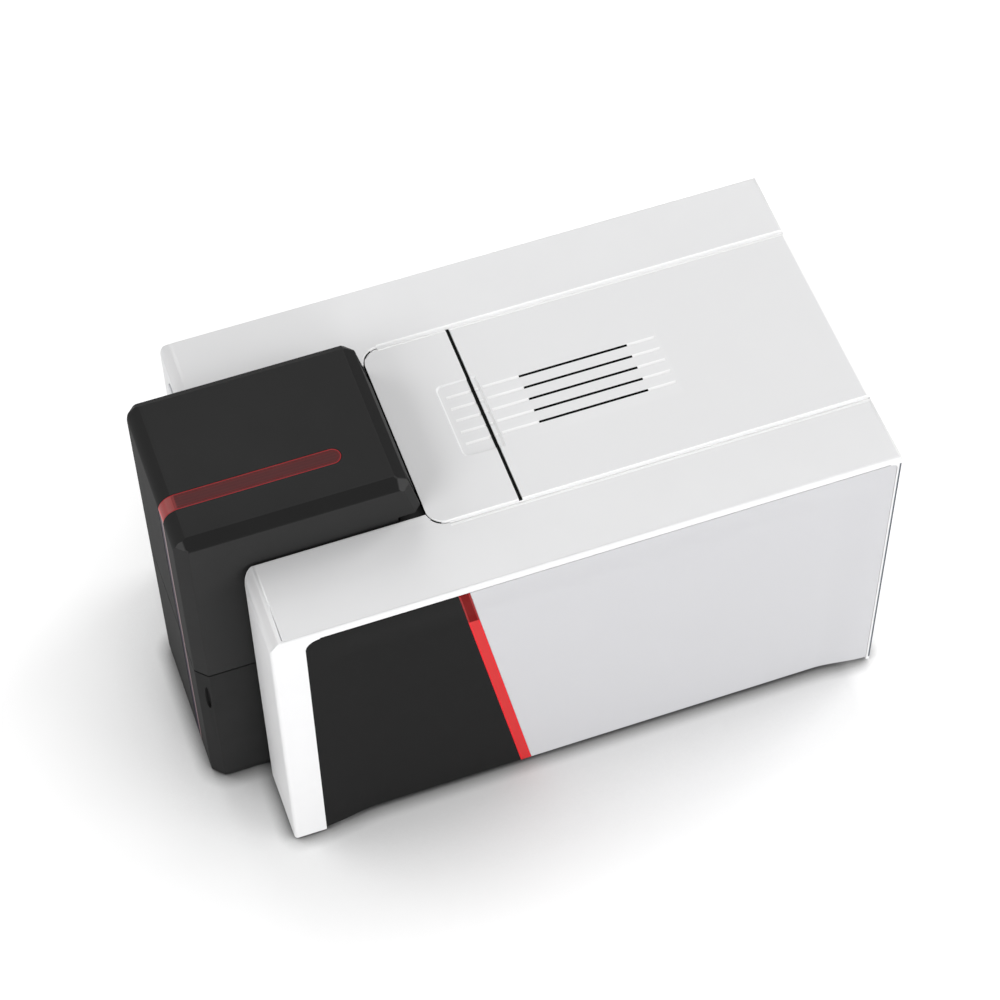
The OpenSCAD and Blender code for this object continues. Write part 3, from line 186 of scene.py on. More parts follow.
@dataclass(frozen=True)
class Finish:
    """One surface finish, from its colour down to its moulded grain.

    Attributes:
        name: The material's name.
        colour: Linear base colour.
        roughness: Mean roughness.
        metallic: 1 for bare metal.
        specular: Specular level of the plastic or lacquer.
        grain: Size of the relief, in mm.
        relief: Depth of the relief, in mm.
        tone: Share by which the colour drifts.
        tone_size: Size of the colour's drift, in mm.
        spread: Spread of the roughness.
        coat: Weight of a clear coat.
        clear: Share of light that passes through.
        worn: Share by which edges are paler, partly wear and partly a painted highlight where edges
            catch the light.
        pattern: How the relief lies.
        accent: A second colour for patterns that use one.
    """

    name: str
    colour: Colour
    roughness: float
    metallic: float = 0.0
    specular: float = 0.4
    grain: float = 0.5
    relief: float = 0.01
    tone: float = 0.03
    tone_size: float = 25.0
    spread: float = 0.06
    coat: float = 0.0
    clear: float = 0.0
    worn: float = 0.0
    pattern: Pattern = Pattern.GRAIN
    accent: Colour = (0.5, 0.5, 0.5)

    def material(self) -> bpy.types.Material:
        """Finds or builds the Blender material of this finish.

        Returns:
            The material.
        """
        name = f"finish_{self.name}"
        found = bpy.data.materials.get(name)
        if found:
            return found
        made = bpy.data.materials.new(name)
        graph = Graph(made)
        shader = graph.add(
            "BsdfPrincipled",
            Metallic=self.metallic,
            Specular_IOR_Level=self.specular,
            Coat_Weight=self.coat,
            Coat_Roughness=0.08,
            Transmission_Weight=self.clear,
        )
        place = graph.add("TexCoord").outputs["Object"]
        noise = graph.add("TexNoise", Scale=1 / (self.tone_size * MM), Detail=3.0)
        graph.wire(place, noise.inputs["Vector"])
        drift = noise.outputs["Fac"]
        relief = self._relief(graph, place)
        graph.wire(self._colour(graph, drift, relief), shader.inputs["Base Color"])
        half = self.spread / 2
        rough = (max(0.02, self.roughness - half), self.roughness + half)
        graph.wire(graph.ramp(drift, rough), shader.inputs["Roughness"])
        bump = graph.add("Bump", Strength=1.0, Distance=self.relief * MM)
        graph.wire(relief, bump.inputs["Height"])
        graph.wire(bump.outputs["Normal"], shader.inputs["Normal"])
        out = graph.add("OutputMaterial")
        graph.wire(shader.outputs["BSDF"], out.inputs["Surface"])
        return made

    def _scaled(self, share: float) -> Colour:
        """The base colour, paler or darker by a share."""
        return tuple(min(1.0, c * (1 + share)) for c in self.colour)

    def _colour(self, graph: Graph, drift: Socket, relief: Socket) -> Socket:
        """Builds the base colour, with its slow drift or its two-tone pattern.

        Args:
            graph: The material's tree.
            drift: The slow colour signal.
            relief: The relief's signal, which two-tone patterns follow.

        Returns:
            The colour.
        """
        if self.pattern in (Pattern.TRACES, Pattern.RIBS):
            mixed = graph.blend(relief, self.accent, self.colour)
        else:
            mixed = graph.blend(drift, self._scaled(-self.tone), self._scaled(self.tone))
        # Paler convex edges: partly wear, partly a painted highlight where the edges catch the
        # light
        if self.worn:
            shape = graph.add("NewGeometry")
            rubbed_and_lit_edges = graph.ramp(shape.outputs["Pointiness"], since=(0.52, 0.62))
            plain = mixed
            amount = graph.math("MULTIPLY", rubbed_and_lit_edges, drift)
            mixed = graph.blend(amount, self.colour, self._scaled(self.worn))
            graph.wire(plain, mixed.node.inputs["A"])
        return mixed

    def _relief(self, graph: Graph, place: Socket) -> Socket:
        """Builds the height signal of the finish.

        Args:
            graph: The material's tree.
            place: The texture coordinates.

        Returns:
            The height signal, about 0 to 1.
        """
        scale = 1 / (self.grain * MM)
        if self.pattern is Pattern.RIBS:
            wave = graph.add("TexWave", Scale=scale * math.pi / 10)
            wave.bands_direction = "X"
            graph.wire(place, wave.inputs["Vector"])
            return wave.outputs["Fac"]
        if self.pattern is Pattern.TRACES:
            white, black = (1, 1, 1, 1), (0, 0, 0, 1)
            brick = graph.add(
                "TexBrick", Scale=scale, Mortar_Size=0.012, Brick_Width=0.9, Row_Height=0.13,
                Color1=white, Color2=white, Mortar=black,
            )
            graph.wire(place, brick.inputs["Vector"])
            return brick.outputs["Color"]
        stretch = {
            Pattern.GRAIN: (1, 1, 1),
            Pattern.BRUSHED: (1, 0.02, 1),
            Pattern.TURNED: (1, 0.04, 0.04),
            Pattern.WEAVE: (0.3, 1, 1),
        }[self.pattern]
        mapping = graph.add("Mapping", Scale=stretch)
        graph.wire(place, mapping.inputs["Vector"])
        noise = graph.add("TexNoise", Scale=scale, Detail=2.0, Roughness=0.6)
        graph.wire(mapping.outputs["Vector"], noise.inputs["Vector"])
        return noise.outputs["Fac"]


def black(name: str, level: float, specular: float = 0.07, worn: float = 0.0) -> Finish:
    """A matt black of the feeder's and the hopper's shells.

    Args:
        name: What follows shell_black in its name.
        level: Its grey level, linear.
        specular: Its specular level.
        worn: Share by which edges are paler, partly wear and partly a painted highlight.

    Returns:
        The finish.
    """
    return Finish(
        f"shell_black{name}", (level,) * 3, 0.7, specular=specular, relief=0.012, tone=0.08,
        worn=worn,
    )


def tinted(name: str, colour: Colour, roughness: float = 0.3, specular: float = 0.15) -> Finish:
    """One tint of the feeder's red window.

    Args:
        name: What follows window_red in its name.
        colour: Its linear colour.
        roughness: Its roughness.
        specular: Its specular level.

    Returns:
        The finish.
    """
    return Finish(f"window_red_{name}", colour, roughness, specular=specular, relief=0.001)


def stripe(name: str, colour: Colour, roughness: float = 0.4, specular: float = 0.12) -> Finish:
    """One tint of the side stripes.

    Args:
        name: What follows stripe_red in its name.
        colour: Its linear colour.
        roughness: Its roughness.
        specular: Its specular level.

    Returns:
        The finish.
    """
    return Finish(f"stripe_red{name}", colour, roughness, specular=specular, relief=0.002)


def steel(name: str, level: float, roughness: float, **more: object) -> Finish:
    """A bare metal with a faint blue cast.

    Args:
        name: Its name.
        level: Its red level, linear.
        roughness: Its roughness.
        **more: Further fields of the finish.

    Returns:
        The finish.
    """
    colour = (level, level + 0.01, level + 0.03)
    return Finish(name, colour, roughness, metallic=1.0, **more)


class Finishes:
    """Every finish of the printer."""

    SHELL_WHITE = Finish(
        "shell_white", (0.80, 0.80, 0.805), 0.42, specular=0.3, relief=0.004, tone=0.008, worn=0.03
    )
    # Paler white for the sloped walls of grooves and seams: a painted highlight that draws them as
    # bright lines
    PAINTED_HIGHLIGHT_WHITE = Finish(
        "shell_white_groove_painted_highlight", (0.96,) * 3, 0.5, specular=0.2, relief=0.002, tone=0.004
    )
    SHELL_BLACK = black("", 0.0235, worn=0.4)
    # Blacks of the feeder's cover by facing: painted shade on the front and chamfers, painted light
    # on the sides
    PAINTED_SHADE_BLACK_FRONT = black("_front", 0.0205, 0.06)
    PAINTED_LIGHT_BLACK_SIDE = black("_side", 0.0272)
    # Darker black for the hopper under the feeder: a painted shade
    PAINTED_SHADE_BLACK_LOW = black("_low", 0.0188, 0.06, worn=0.4)
    PAINTED_SHADE_BLACK_CHAMFER = black("_chamfer", 0.0138, 0.05)
    # Paler blacks at the corners between the chamfers: a painted highlight and its fade
    SHELL_BLACK_PAINTED_HIGHLIGHT_FADE = black("_soft", 0.034)
    SHELL_BLACK_PAINTED_HIGHLIGHT = black("_corner", 0.048)
    PANEL_BLACK = Finish("panel_black", (0.0135,) * 3, 0.75, specular=0.05, relief=0.006, tone=0.08)
    # Grey for the floor of the fine groove over the side panels: a painted shade line
    PAINTED_SHADE_PANEL_LINE = Finish("panel_line", (0.40, 0.40, 0.41), 0.6, specular=0.1, relief=0.004)
    PANEL_GREY = Finish(
        "panel_grey", (0.555, 0.555, 0.572), 0.4, specular=0.3, relief=0.004, tone=0.008
    )
    STRIPE_RED = stripe("", (0.59, 0.022, 0.024), specular=0.14)
    # Stripe tints: a painted highlight on the rims, a painted shade on the upper end
    STRIPE_RIM_PAINTED_HIGHLIGHT = stripe("_edge", (0.72, 0.014, 0.022))
    STRIPE_RIM_IN_PAINTED_SHADE = stripe("_rim_shaded", (0.30, 0.010, 0.012))
    STRIPE_PAINTED_SHADE = stripe("_shaded", (0.16, 0.002, 0.002), 0.5, 0.05)
    WINDOW = Finish(
        "window_red", (0.10, 0.006, 0.007), 0.3, specular=0.15, relief=0.001, clear=0.35,
        grain=1.9, pattern=Pattern.RIBS, accent=(0.078, 0.005, 0.006),
    )
    # Paler reds where the window bends over the top edge: a painted highlight, fading towards the
    # flat top
    WINDOW_FOLD_HIGHLIGHT_DIM = tinted("dim", (0.205, 0.036, 0.036))
    WINDOW_FOLD_HIGHLIGHT_LIT = tinted("lit", (0.30, 0.060, 0.058))
    WINDOW_FOLD_HIGHLIGHT_GLOW = tinted("glow", (0.33, 0.066, 0.064))
    WINDOW_FOLD_HIGHLIGHT_BRIGHT = tinted("bright", (0.34, 0.06, 0.06))
    WINDOW_FOLD_HIGHLIGHT_TIP = tinted("tip", (0.48, 0.03, 0.03))
    WINDOW_RIM_PAINTED_HIGHLIGHT = tinted("edge", (0.36, 0.026, 0.030))
    WINDOW_LINE = tinted("line", (0.17, 0.009, 0.010))
    # The window's upright front: one half a painted shade, the other a painted glint
    WINDOW_PAINTED_SHADE_FRONT = tinted("front", (0.012, 0.007, 0.022), 0.5, 0.05)
    WINDOW_GLINT = tinted("glint", (0.175, 0.095, 0.102), 0.4, 0.1)
    MOULDED_DARK = Finish(
        "moulded_dark", (0.022, 0.022, 0.024), 0.55, relief=0.02, tone=0.1, worn=0.4
    )
    # Dark strip along the side casings' rear edges: a painted shade line
    PAINTED_SHADE_STRIP = Finish("rear_edge_painted_shade", (0.10, 0.11, 0.13), 0.6, specular=0.1, relief=0.004)
    MOULDED_GREY = Finish(
        "moulded_grey", (0.17, 0.175, 0.19), 0.5, relief=0.015, tone=0.05, worn=0.15
    )
    MOULDED_PALE = Finish("moulded_pale", (0.58, 0.58, 0.59), 0.5, relief=0.012, worn=0.05)
    # Near-black for strips put in the band's gaps: a painted shade
    GAP_PAINTED_SHADE = Finish("gap_painted_shade_black", (0.006,) * 3, 0.85, specular=0.05, relief=0.02, grain=0.4)
    # Near-black for the fill under the hood's slots: a painted shade
    SLOT_PAINTED_SHADE = Finish("slot_painted_shade_black", (0.005,) * 3, 0.85, specular=0.05, relief=0.1, grain=0.6)
    RUBBER_FOOT = Finish("foot_rubber", (0.015,) * 3, 0.8, specular=0.2, relief=0.04, grain=0.8)
    RUBBER_ROLLER = Finish(
        "roller_rubber", (0.02, 0.02, 0.022), 0.7, specular=0.25, relief=0.03, grain=0.35,
        pattern=Pattern.TURNED,
    )
    RUBBER_TACKY = Finish(
        "tacky_rubber", (0.06, 0.22, 0.5), 0.3, specular=0.5, relief=0.004, coat=0.2
    )
    RUBBER_BELT = Finish(
        "belt_rubber", (0.012,) * 3, 0.75, specular=0.2, relief=0.03, pattern=Pattern.WEAVE
    )
    STEEL_SHEET = steel(
        "zinc_sheet", 0.56, 0.36, relief=0.006, grain=0.4, pattern=Pattern.BRUSHED, worn=0.2
    )
    STEEL_ROD = steel("ground_steel", 0.62, 0.22, relief=0.004, grain=0.2, pattern=Pattern.TURNED)
    STEEL_DULL = steel(
        "turned_steel", 0.5, 0.32, relief=0.006, grain=0.3, pattern=Pattern.TURNED, worn=0.2
    )
    ALUMINIUM = steel("cast_aluminium", 0.62, 0.4, relief=0.015, grain=0.6, worn=0.2)
    BRASS = Finish(
        "sintered_brass", (0.60, 0.40, 0.15), 0.38, metallic=1.0, relief=0.01, grain=0.25
    )
    MOTOR_BLACK = Finish("motor_black", (0.015, 0.015, 0.017), 0.35, relief=0.008, worn=0.4)
    CERAMIC = Finish("glazed_ceramic", (0.42, 0.30, 0.2), 0.15, specular=0.6, relief=0.002)
    CARD = Finish("card_white", (0.80, 0.80, 0.79), 0.22, specular=0.5, relief=0.001, tone=0.01)
    DYE_FILM = Finish(
        "dye_film", (0.09, 0.01, 0.07), 0.14, specular=0.6, relief=0.003, grain=4.0, coat=0.4
    )
    USED_FILM = Finish(
        "used_film", (0.012, 0.012, 0.014), 0.16, specular=0.6, relief=0.003, grain=4.0, coat=0.4
    )
    AMBER = Finish("amber_plastic", (0.52, 0.20, 0.012), 0.28, relief=0.002)
    BOARD = Finish(
        "board_green", (0.012, 0.10, 0.035), 0.35, grain=30.0, pattern=Pattern.TRACES,
        accent=(0.03, 0.2, 0.08),
    )
    CHIP = Finish("chip_black", (0.02, 0.02, 0.021), 0.45, grain=0.2)
    SILVER_PLASTIC = Finish(
        "silver_plastic", (0.55, 0.56, 0.58), 0.3, specular=0.5, relief=0.003
    )
    LENS = Finish("lens_clear", (0.35, 0.62, 0.5), 0.15, specular=0.6, relief=0.001, coat=0.5)


# ---------------------------------------------------------------- forms


class Axis(Enum):
    """A row axis, with its two cross directions in right-handed order."""

    X = (0, 1, 2)
    Y = (1, 2, 0)
    Z = (2, 0, 1)


@dataclass(frozen=True)
class Plane:
    """One face of a convex form, in millimetres.

    Attributes:
        normal: Its outward direction.
        reach: Its distance from the origin.
    """

    normal: Vector
    reach: float

    @classmethod
    def through(cls, point: Point, direction: Point) -> "Plane":
        """The plane through a point, square to a direction that points outwards."""
        normal = Vector(direction).normalized()
        return cls(normal, normal.dot(Vector(point)))

    def rounding(self, other: "Plane", radius: float, steps: int) -> list["Plane"]:
        """The tangent planes that round the edge between this plane and another one.

        Args:
            other: The other plane.
            radius: The edge's radius.
            steps: Number of equal turns from one plane to the other.

        Returns:
            One plane for each facet of the rounding.
        """
        cosine = self.normal.dot(other.normal)
        a, b = self.reach - radius, other.reach - radius
        share = 1 - cosine * cosine
        axis = self.normal * ((a - b * cosine) / share)
        axis += other.normal * ((b - a * cosine) / share)
        turned = [self.normal.slerp(other.normal, i / steps) for i in range(1, steps)]
        return [Plane(n, n.dot(axis) + radius) for n in turned]


def box_shape(x: Span, y: Span, z: Span) -> bmesh.types.BMesh:
    """A bmesh box between three pairs of limits.

    Args:
        x: Limits along X.
        y: Limits along Y.
        z: Limits along Z.

    Returns:
        The box.
    """
    shape = bmesh.new()
    bmesh.ops.create_cube(shape, size=1.0)
    for v in shape.verts:
        v.co = Vector([a + (b - a) * (c + 0.5) for c, (a, b) in zip(v.co, (x, y, z))])
    return shape


def bridge_loops(shape: bmesh.types.BMesh, loops: Sequence[Sequence[bmesh.types.BMVert]]) -> None:
    """Closes a row of vertex loops to a solid.

    Args:
        shape: Where the loops lie.
        loops: The loops, all of one length.
    """
    shape.faces.new(loops[0])
    shape.faces.new(loops[-1])
    for near, far in zip(loops, loops[1:]):
        for i in range(len(near)):
            j = (i + 1) % len(near)
            shape.faces.new((near[i], near[j], far[j], far[i]))


class Form:
    """A closed mesh object made from simple solids, in millimetres."""

    def __init__(self, name: str, shape: bmesh.types.BMesh) -> None:
        """Turns a bmesh in millimetres into an object in metres.

        Args:
            name: The object's name.
            shape: The bmesh, which is freed.
        """
        bmesh.ops.recalc_face_normals(shape, faces=shape.faces)
        mesh = bpy.data.meshes.new(name)
        shape.to_mesh(mesh)
        shape.free()
        mesh.transform(Matrix.Scale(MM, 4))
        self.obj = bpy.data.objects.new(name, mesh)
        bpy.context.scene.collection.objects.link(self.obj)

    @classmethod
    def of_node(cls, node: bpy.types.Object) -> "Form":
        """A copy of a construction node's mesh, cleaned of its seams.

        Args:
            node: The node's object.

        Returns:
            The copy.
        """
        shape = bmesh.new()
        shape.from_mesh(node.data)
        bmesh.ops.remove_doubles(shape, verts=shape.verts, dist=2e-6)
        flat = math.radians(0.3)
        bmesh.ops.dissolve_limit(shape, angle_limit=flat, verts=shape.verts, edges=shape.edges)
        bmesh.ops.scale(shape, vec=Vector((1 / MM,) * 3), verts=shape.verts)
        return cls(node.name + "_piece", shape)

    @classmethod
    def box(cls, name: str, x: Span, y: Span, z: Span) -> "Form":
        """A box between three pairs of limits."""
        return cls(name, box_shape(x, y, z))

    @classmethod
    def prism(cls, name: str, axis: Axis, span: Span, outline: Outline) -> "Form":
        """A solid from an outline pushed along an axis.

        Args:
            name: The form's name.
            axis: The direction of the push.
            span: Its limits.
            outline: Points in the axis's two cross directions.

        Returns:
            The solid.
        """
        shape = bmesh.new()
        along, first, second = axis.value
        loops = []
        for place in span:
            loop = []
            for a, b in outline:
                point = [0.0, 0.0, 0.0]
                point[along], point[first], point[second] = place, a, b
                loop.append(shape.verts.new(point))
            loops.append(loop)
        bridge_loops(shape, loops)
        return cls(name, shape)

    @classmethod
    def convex(cls, name: str, x: Span, y: Span, z: Span, planes: Sequence[Plane]) -> "Form":
        """A box cut down to what lies under every one of the planes.

        Args:
            name: The form's name.
            x: The box's limits along X.
            y: Its limits along Y.
            z: Its limits along Z.
            planes: The planes.

        Returns:
            The convex form.
        """
        shape = box_shape(x, y, z)
        for plane in planes:
            cut = bmesh.ops.bisect_plane(
                shape,
                geom=[*shape.verts, *shape.edges, *shape.faces],
                dist=1e-4,
                plane_co=plane.normal * plane.reach,
                plane_no=plane.normal,
                clear_outer=True,
            )
            edges = [e for e in cut["geom_cut"] if isinstance(e, bmesh.types.BMEdge)]
            rim = [e for e in edges if e.is_boundary]
            if rim:
                bmesh.ops.edgeloop_fill(shape, edges=rim)
        bmesh.ops.remove_doubles(shape, verts=shape.verts, dist=2e-3)
        return cls(name, shape)

    @classmethod
    def rod(cls, name: str, axis: Axis, span: Span, centre: Span, radius: float) -> "Form":
        """A round rod along an axis.

        Args:
            name: The form's name.
            axis: The rod's direction.
            span: Its limits.
            centre: The axis's place in the two cross directions.
            radius: The rod's radius.

        Returns:
            The rod.
        """
        sides = 48
        turns = [2 * math.pi * i / sides for i in range(sides)]
        a, b = centre
        outline = [(a + radius * math.cos(t), b + radius * math.sin(t)) for t in turns]
        return cls.prism(name, axis, span, outline)

    def _combine(self, others: Iterable["Form"], operation: str) -> "Form":
        """Applies a boolean with each of the others, which are used up.

        Args:
            others: The other forms.
            operation: DIFFERENCE, UNION or INTERSECT.

        Returns:
            This form.
        """
        for other in others:
            step = self.obj.modifiers.new("step", "BOOLEAN")
            step.operation = operation
            step.solver = "EXACT"
            step.object = other.obj
            self.settle()
            bpy.data.objects.remove(other.obj)
        return self

    def cut(self, *others: "Form") -> "Form":
        """Takes the others away."""
        return self._combine(others, "DIFFERENCE")

    def join(self, *others: "Form") -> "Form":
        """Adds the others."""
        return self._combine(others, "UNION")

    def keep(self, *others: "Form") -> "Form":
        """Keeps what lies in the others."""
        return self._combine(others, "INTERSECT")

    def _edit(self, work: Callable[[bmesh.types.BMesh], None]) -> "Form":
        """Works on the form's mesh in metres.

        Args:
            work: What is done to it.

        Returns:
            This form.
        """
        shape = bmesh.new()
        shape.from_mesh(self.obj.data)
        work(shape)
        shape.to_mesh(self.obj.data)
        shape.free()
        return self

    def divide(self, x: float) -> "Form":
        """Adds edges where the form crosses a place along X.

        Args:
            x: The place, in mm.

        Returns:
            This form.
        """

        def slice_at(shape: bmesh.types.BMesh) -> None:
            """Cuts the faces at the place, and takes nothing away.

            Args:
                shape: The form's mesh.
            """
            whole = [*shape.verts, *shape.edges, *shape.faces]
            place = (x * MM, 0, 0)
            bmesh.ops.bisect_plane(
                shape, geom=whole, dist=1e-7, plane_co=place, plane_no=(1, 0, 0)
            )

        return self._edit(slice_at)

    def bands(self, test: FaceTest, widths: Sequence[float]) -> "Form":
        """Splits the region of the chosen faces into bands along its border.

        A face's material index then tells its band: 0 outside the region, 1 for the outermost band
        and one more than the last band for what stays inside.

        Args:
            test: Tells from a face's centre, in mm, and normal whether it is in the region.
            widths: Widths of the bands from the border inwards, in mm.

        Returns:
            This form.
        """

        def inset(shape: bmesh.types.BMesh) -> None:
            """Insets the region once for each band.

            Args:
                shape: The form's mesh.
            """
            inside = [f for f in shape.faces if test(f.calc_center_median() / MM, f.normal)]
            for index, width in enumerate(widths):
                cut = bmesh.ops.inset_region(
                    shape, faces=inside, thickness=width * MM, use_even_offset=True,
                    use_boundary=True,
                )
                for face in cut["faces"]:
                    face.material_index = index + 1
            for face in inside:
                face.material_index = len(widths) + 1

        return self._edit(inset)

    def turn(self, degrees: float, place: Point) -> "Form":
        """Turns the form about Z through the origin, then moves it.

        Args:
            degrees: The turn.
            place: The move, in mm.

        Returns:
            This form.
        """
        spin = Matrix.Rotation(math.radians(degrees), 4, "Z")
        self.obj.data.transform(Matrix.Translation(Vector(place) * MM) @ spin)
        return self

    def settle(self) -> None:
        """Applies every modifier to the mesh."""
        bpy.context.view_layer.update()
        graph = bpy.context.evaluated_depsgraph_get()
        mesh = bpy.data.meshes.new_from_object(self.obj.evaluated_get(graph))
        self.obj.modifiers.clear()
        self.obj.data = mesh

    def round(self, width: float, steps: int = 3, angle: float = 30.0) -> "Form":
        """Rounds every edge sharper than an angle.

        Args:
            width: Width of the rounding, in mm.
            steps: Number of facets across it.
            angle: The sharpest edge that is left alone, in degrees.

        Returns:
            This form.
        """
        bevel = self.obj.modifiers.new("round", "BEVEL")
        bevel.width = width * MM
        bevel.segments = steps
        bevel.limit_method = "ANGLE"
        bevel.angle_limit = math.radians(angle)
        bevel.miter_outer = "MITER_ARC"
        self.settle()

        def clean(shape: bmesh.types.BMesh) -> None:
            """Drops the faces without area, left where facets are shorter than the rounding."""
            bmesh.ops.remove_doubles(shape, verts=shape.verts, dist=2e-7)
            bmesh.ops.dissolve_degenerate(shape, dist=2e-7, edges=shape.edges)

        return self._edit(clean)


def smooth_step(t: float) -> float:
    """A soft step from 0 to 1, with 0 and 1 at its ends."""
    u = max(0.0, min(1.0, t))
    return u * u * (3 - 2 * u)


def shade(obj: bpy.types.Object) -> None:
    """Shades an object smooth, with its sharper edges left crisp.

    Args:
        obj: The object.
    """
    mesh = obj.data
    mesh.polygons.foreach_set("use_smooth", [True] * len(mesh.polygons))
    mesh.set_sharp_from_angle(angle=math.radians(28.0))
    weigh = obj.modifiers.new("weigh", "WEIGHTED_NORMAL")
    weigh.keep_sharp = True


def sorted_span(a: float, b: float) -> Span:
    """Two limits in rising order."""
    return (min(a, b), max(a, b))


class Bench:
    """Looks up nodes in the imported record, and turns forms and nodes into dressed pieces."""

    def __init__(self, frame: dict) -> None:
        """Reads which body and slot each node has.
        """
        record = frame["record"]
        self.nodes = frame["nodes"]
        self.body = {n: b for b, ns in record["behaviour"]["bodies"].items() for n in ns}
        self.slot = {s["node"]: s["material_slot"] for s in record["subparts"]}

    def span(self, node: str) -> tuple[Span, Span, Span]:
        """The limits of a node along X, Y and Z, in millimetres."""
        low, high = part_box(node)
        return tuple((low[i] / MM, high[i] / MM) for i in range(3))

    def middle(self, node: str, axis: Axis) -> float:
        """The middle of a node along an axis, in millimetres."""
        return sum(self.span(node)[axis.value[0]]) / 2

    def place(self, obj: bpy.types.Object, node: str, replaces: bool) -> None:
        """Hangs a piece on a node's body, and hides the node if the piece stands for it.

        Args:
            obj: The piece.
            node: The node it goes with.
            replaces: Whether the piece stands for the node.
        """
        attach(obj, self.body[node])
        if replaces:
            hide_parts(node)
        log.info("%s rides on %s, %d faces", obj.name, self.body[node], len(obj.data.polygons))

    def finish_form(
        self,
        form: Form,
        node: str,
        finish: Finish,
        rules: Sequence[tuple[FaceTest, Finish]] = (),
        replaces: bool = True,
    ) -> None:
        """Shades, dresses and places a form.

        Args:
            form: The form.
            node: The node it goes with.
            finish: The finish of every face that no rule takes.
            rules: Tests of a face's centre, in mm, and normal, each with a finish.
            replaces: Whether it stands for the node.
        """
        mesh = form.obj.data
        mesh.materials.clear()
        for one in (finish, *[r[1] for r in rules]):
            mesh.materials.append(one.material())
        for face in mesh.polygons:
            centre = face.center / MM
            found = (i + 1 for i, (test, _) in enumerate(rules) if test(centre, face.normal))
            face.material_index = next(found, 0)
        shade(form.obj)
        self.place(form.obj, node, replaces)

    def finish_bands(self, form: Form, node: str, pick: Callable[[int, Vector], Finish]) -> None:
        """Shades, dresses and places a form whose faces are sorted into bands.

        Args:
            form: The form, after Form.bands.
            node: The node that it stands for.
            pick: Gives the finish for a face's band and centre, in mm.
        """
        mesh = form.obj.data
        wanted = [pick(f.material_index, f.center / MM) for f in mesh.polygons]
        order = list(dict.fromkeys(wanted))
        mesh.materials.clear()
        for finish in order:
            mesh.materials.append(finish.material())
        mesh.polygons.foreach_set("material_index", [order.index(f) for f in wanted])
        shade(form.obj)
        self.place(form.obj, node, True)

    def rework(
        self,
        node: str,
        finish: Finish,
        rules: Sequence[tuple[FaceTest, Finish]] = (),
        edge: float = 0.25,
    ) -> None:
        """Makes a piece from a node's own mesh, with its edges broken, to stand for the node.

        Args:
            node: The node.
            finish: Its main finish.
            rules: Finishes for some of its faces.
            edge: Width of the broken edges, in mm.
        """
        form = Form.of_node(self.nodes[node]).round(edge, 2, 40)
        self.finish_form(form, node, finish, rules)


# ---------------------------------------------------------------- sub-assemblies


SIDES = {"left": -1, "right": 1}


@dataclass(frozen=True)
class SideFace:
    """Where the three sheets of one side lie.

    Attributes:
        sign: 1 for the right side, -1 for the left one.
        outer: Distance of the undished face from the machine's middle.
        ends: Front and rear ends of the three sheets together.
        heights: Their lowest and highest point.
        slope: Lean of the stripe, in mm per mm.
    """

    sign: int
    outer: float
    ends: Span
    heights: Span
    slope: float


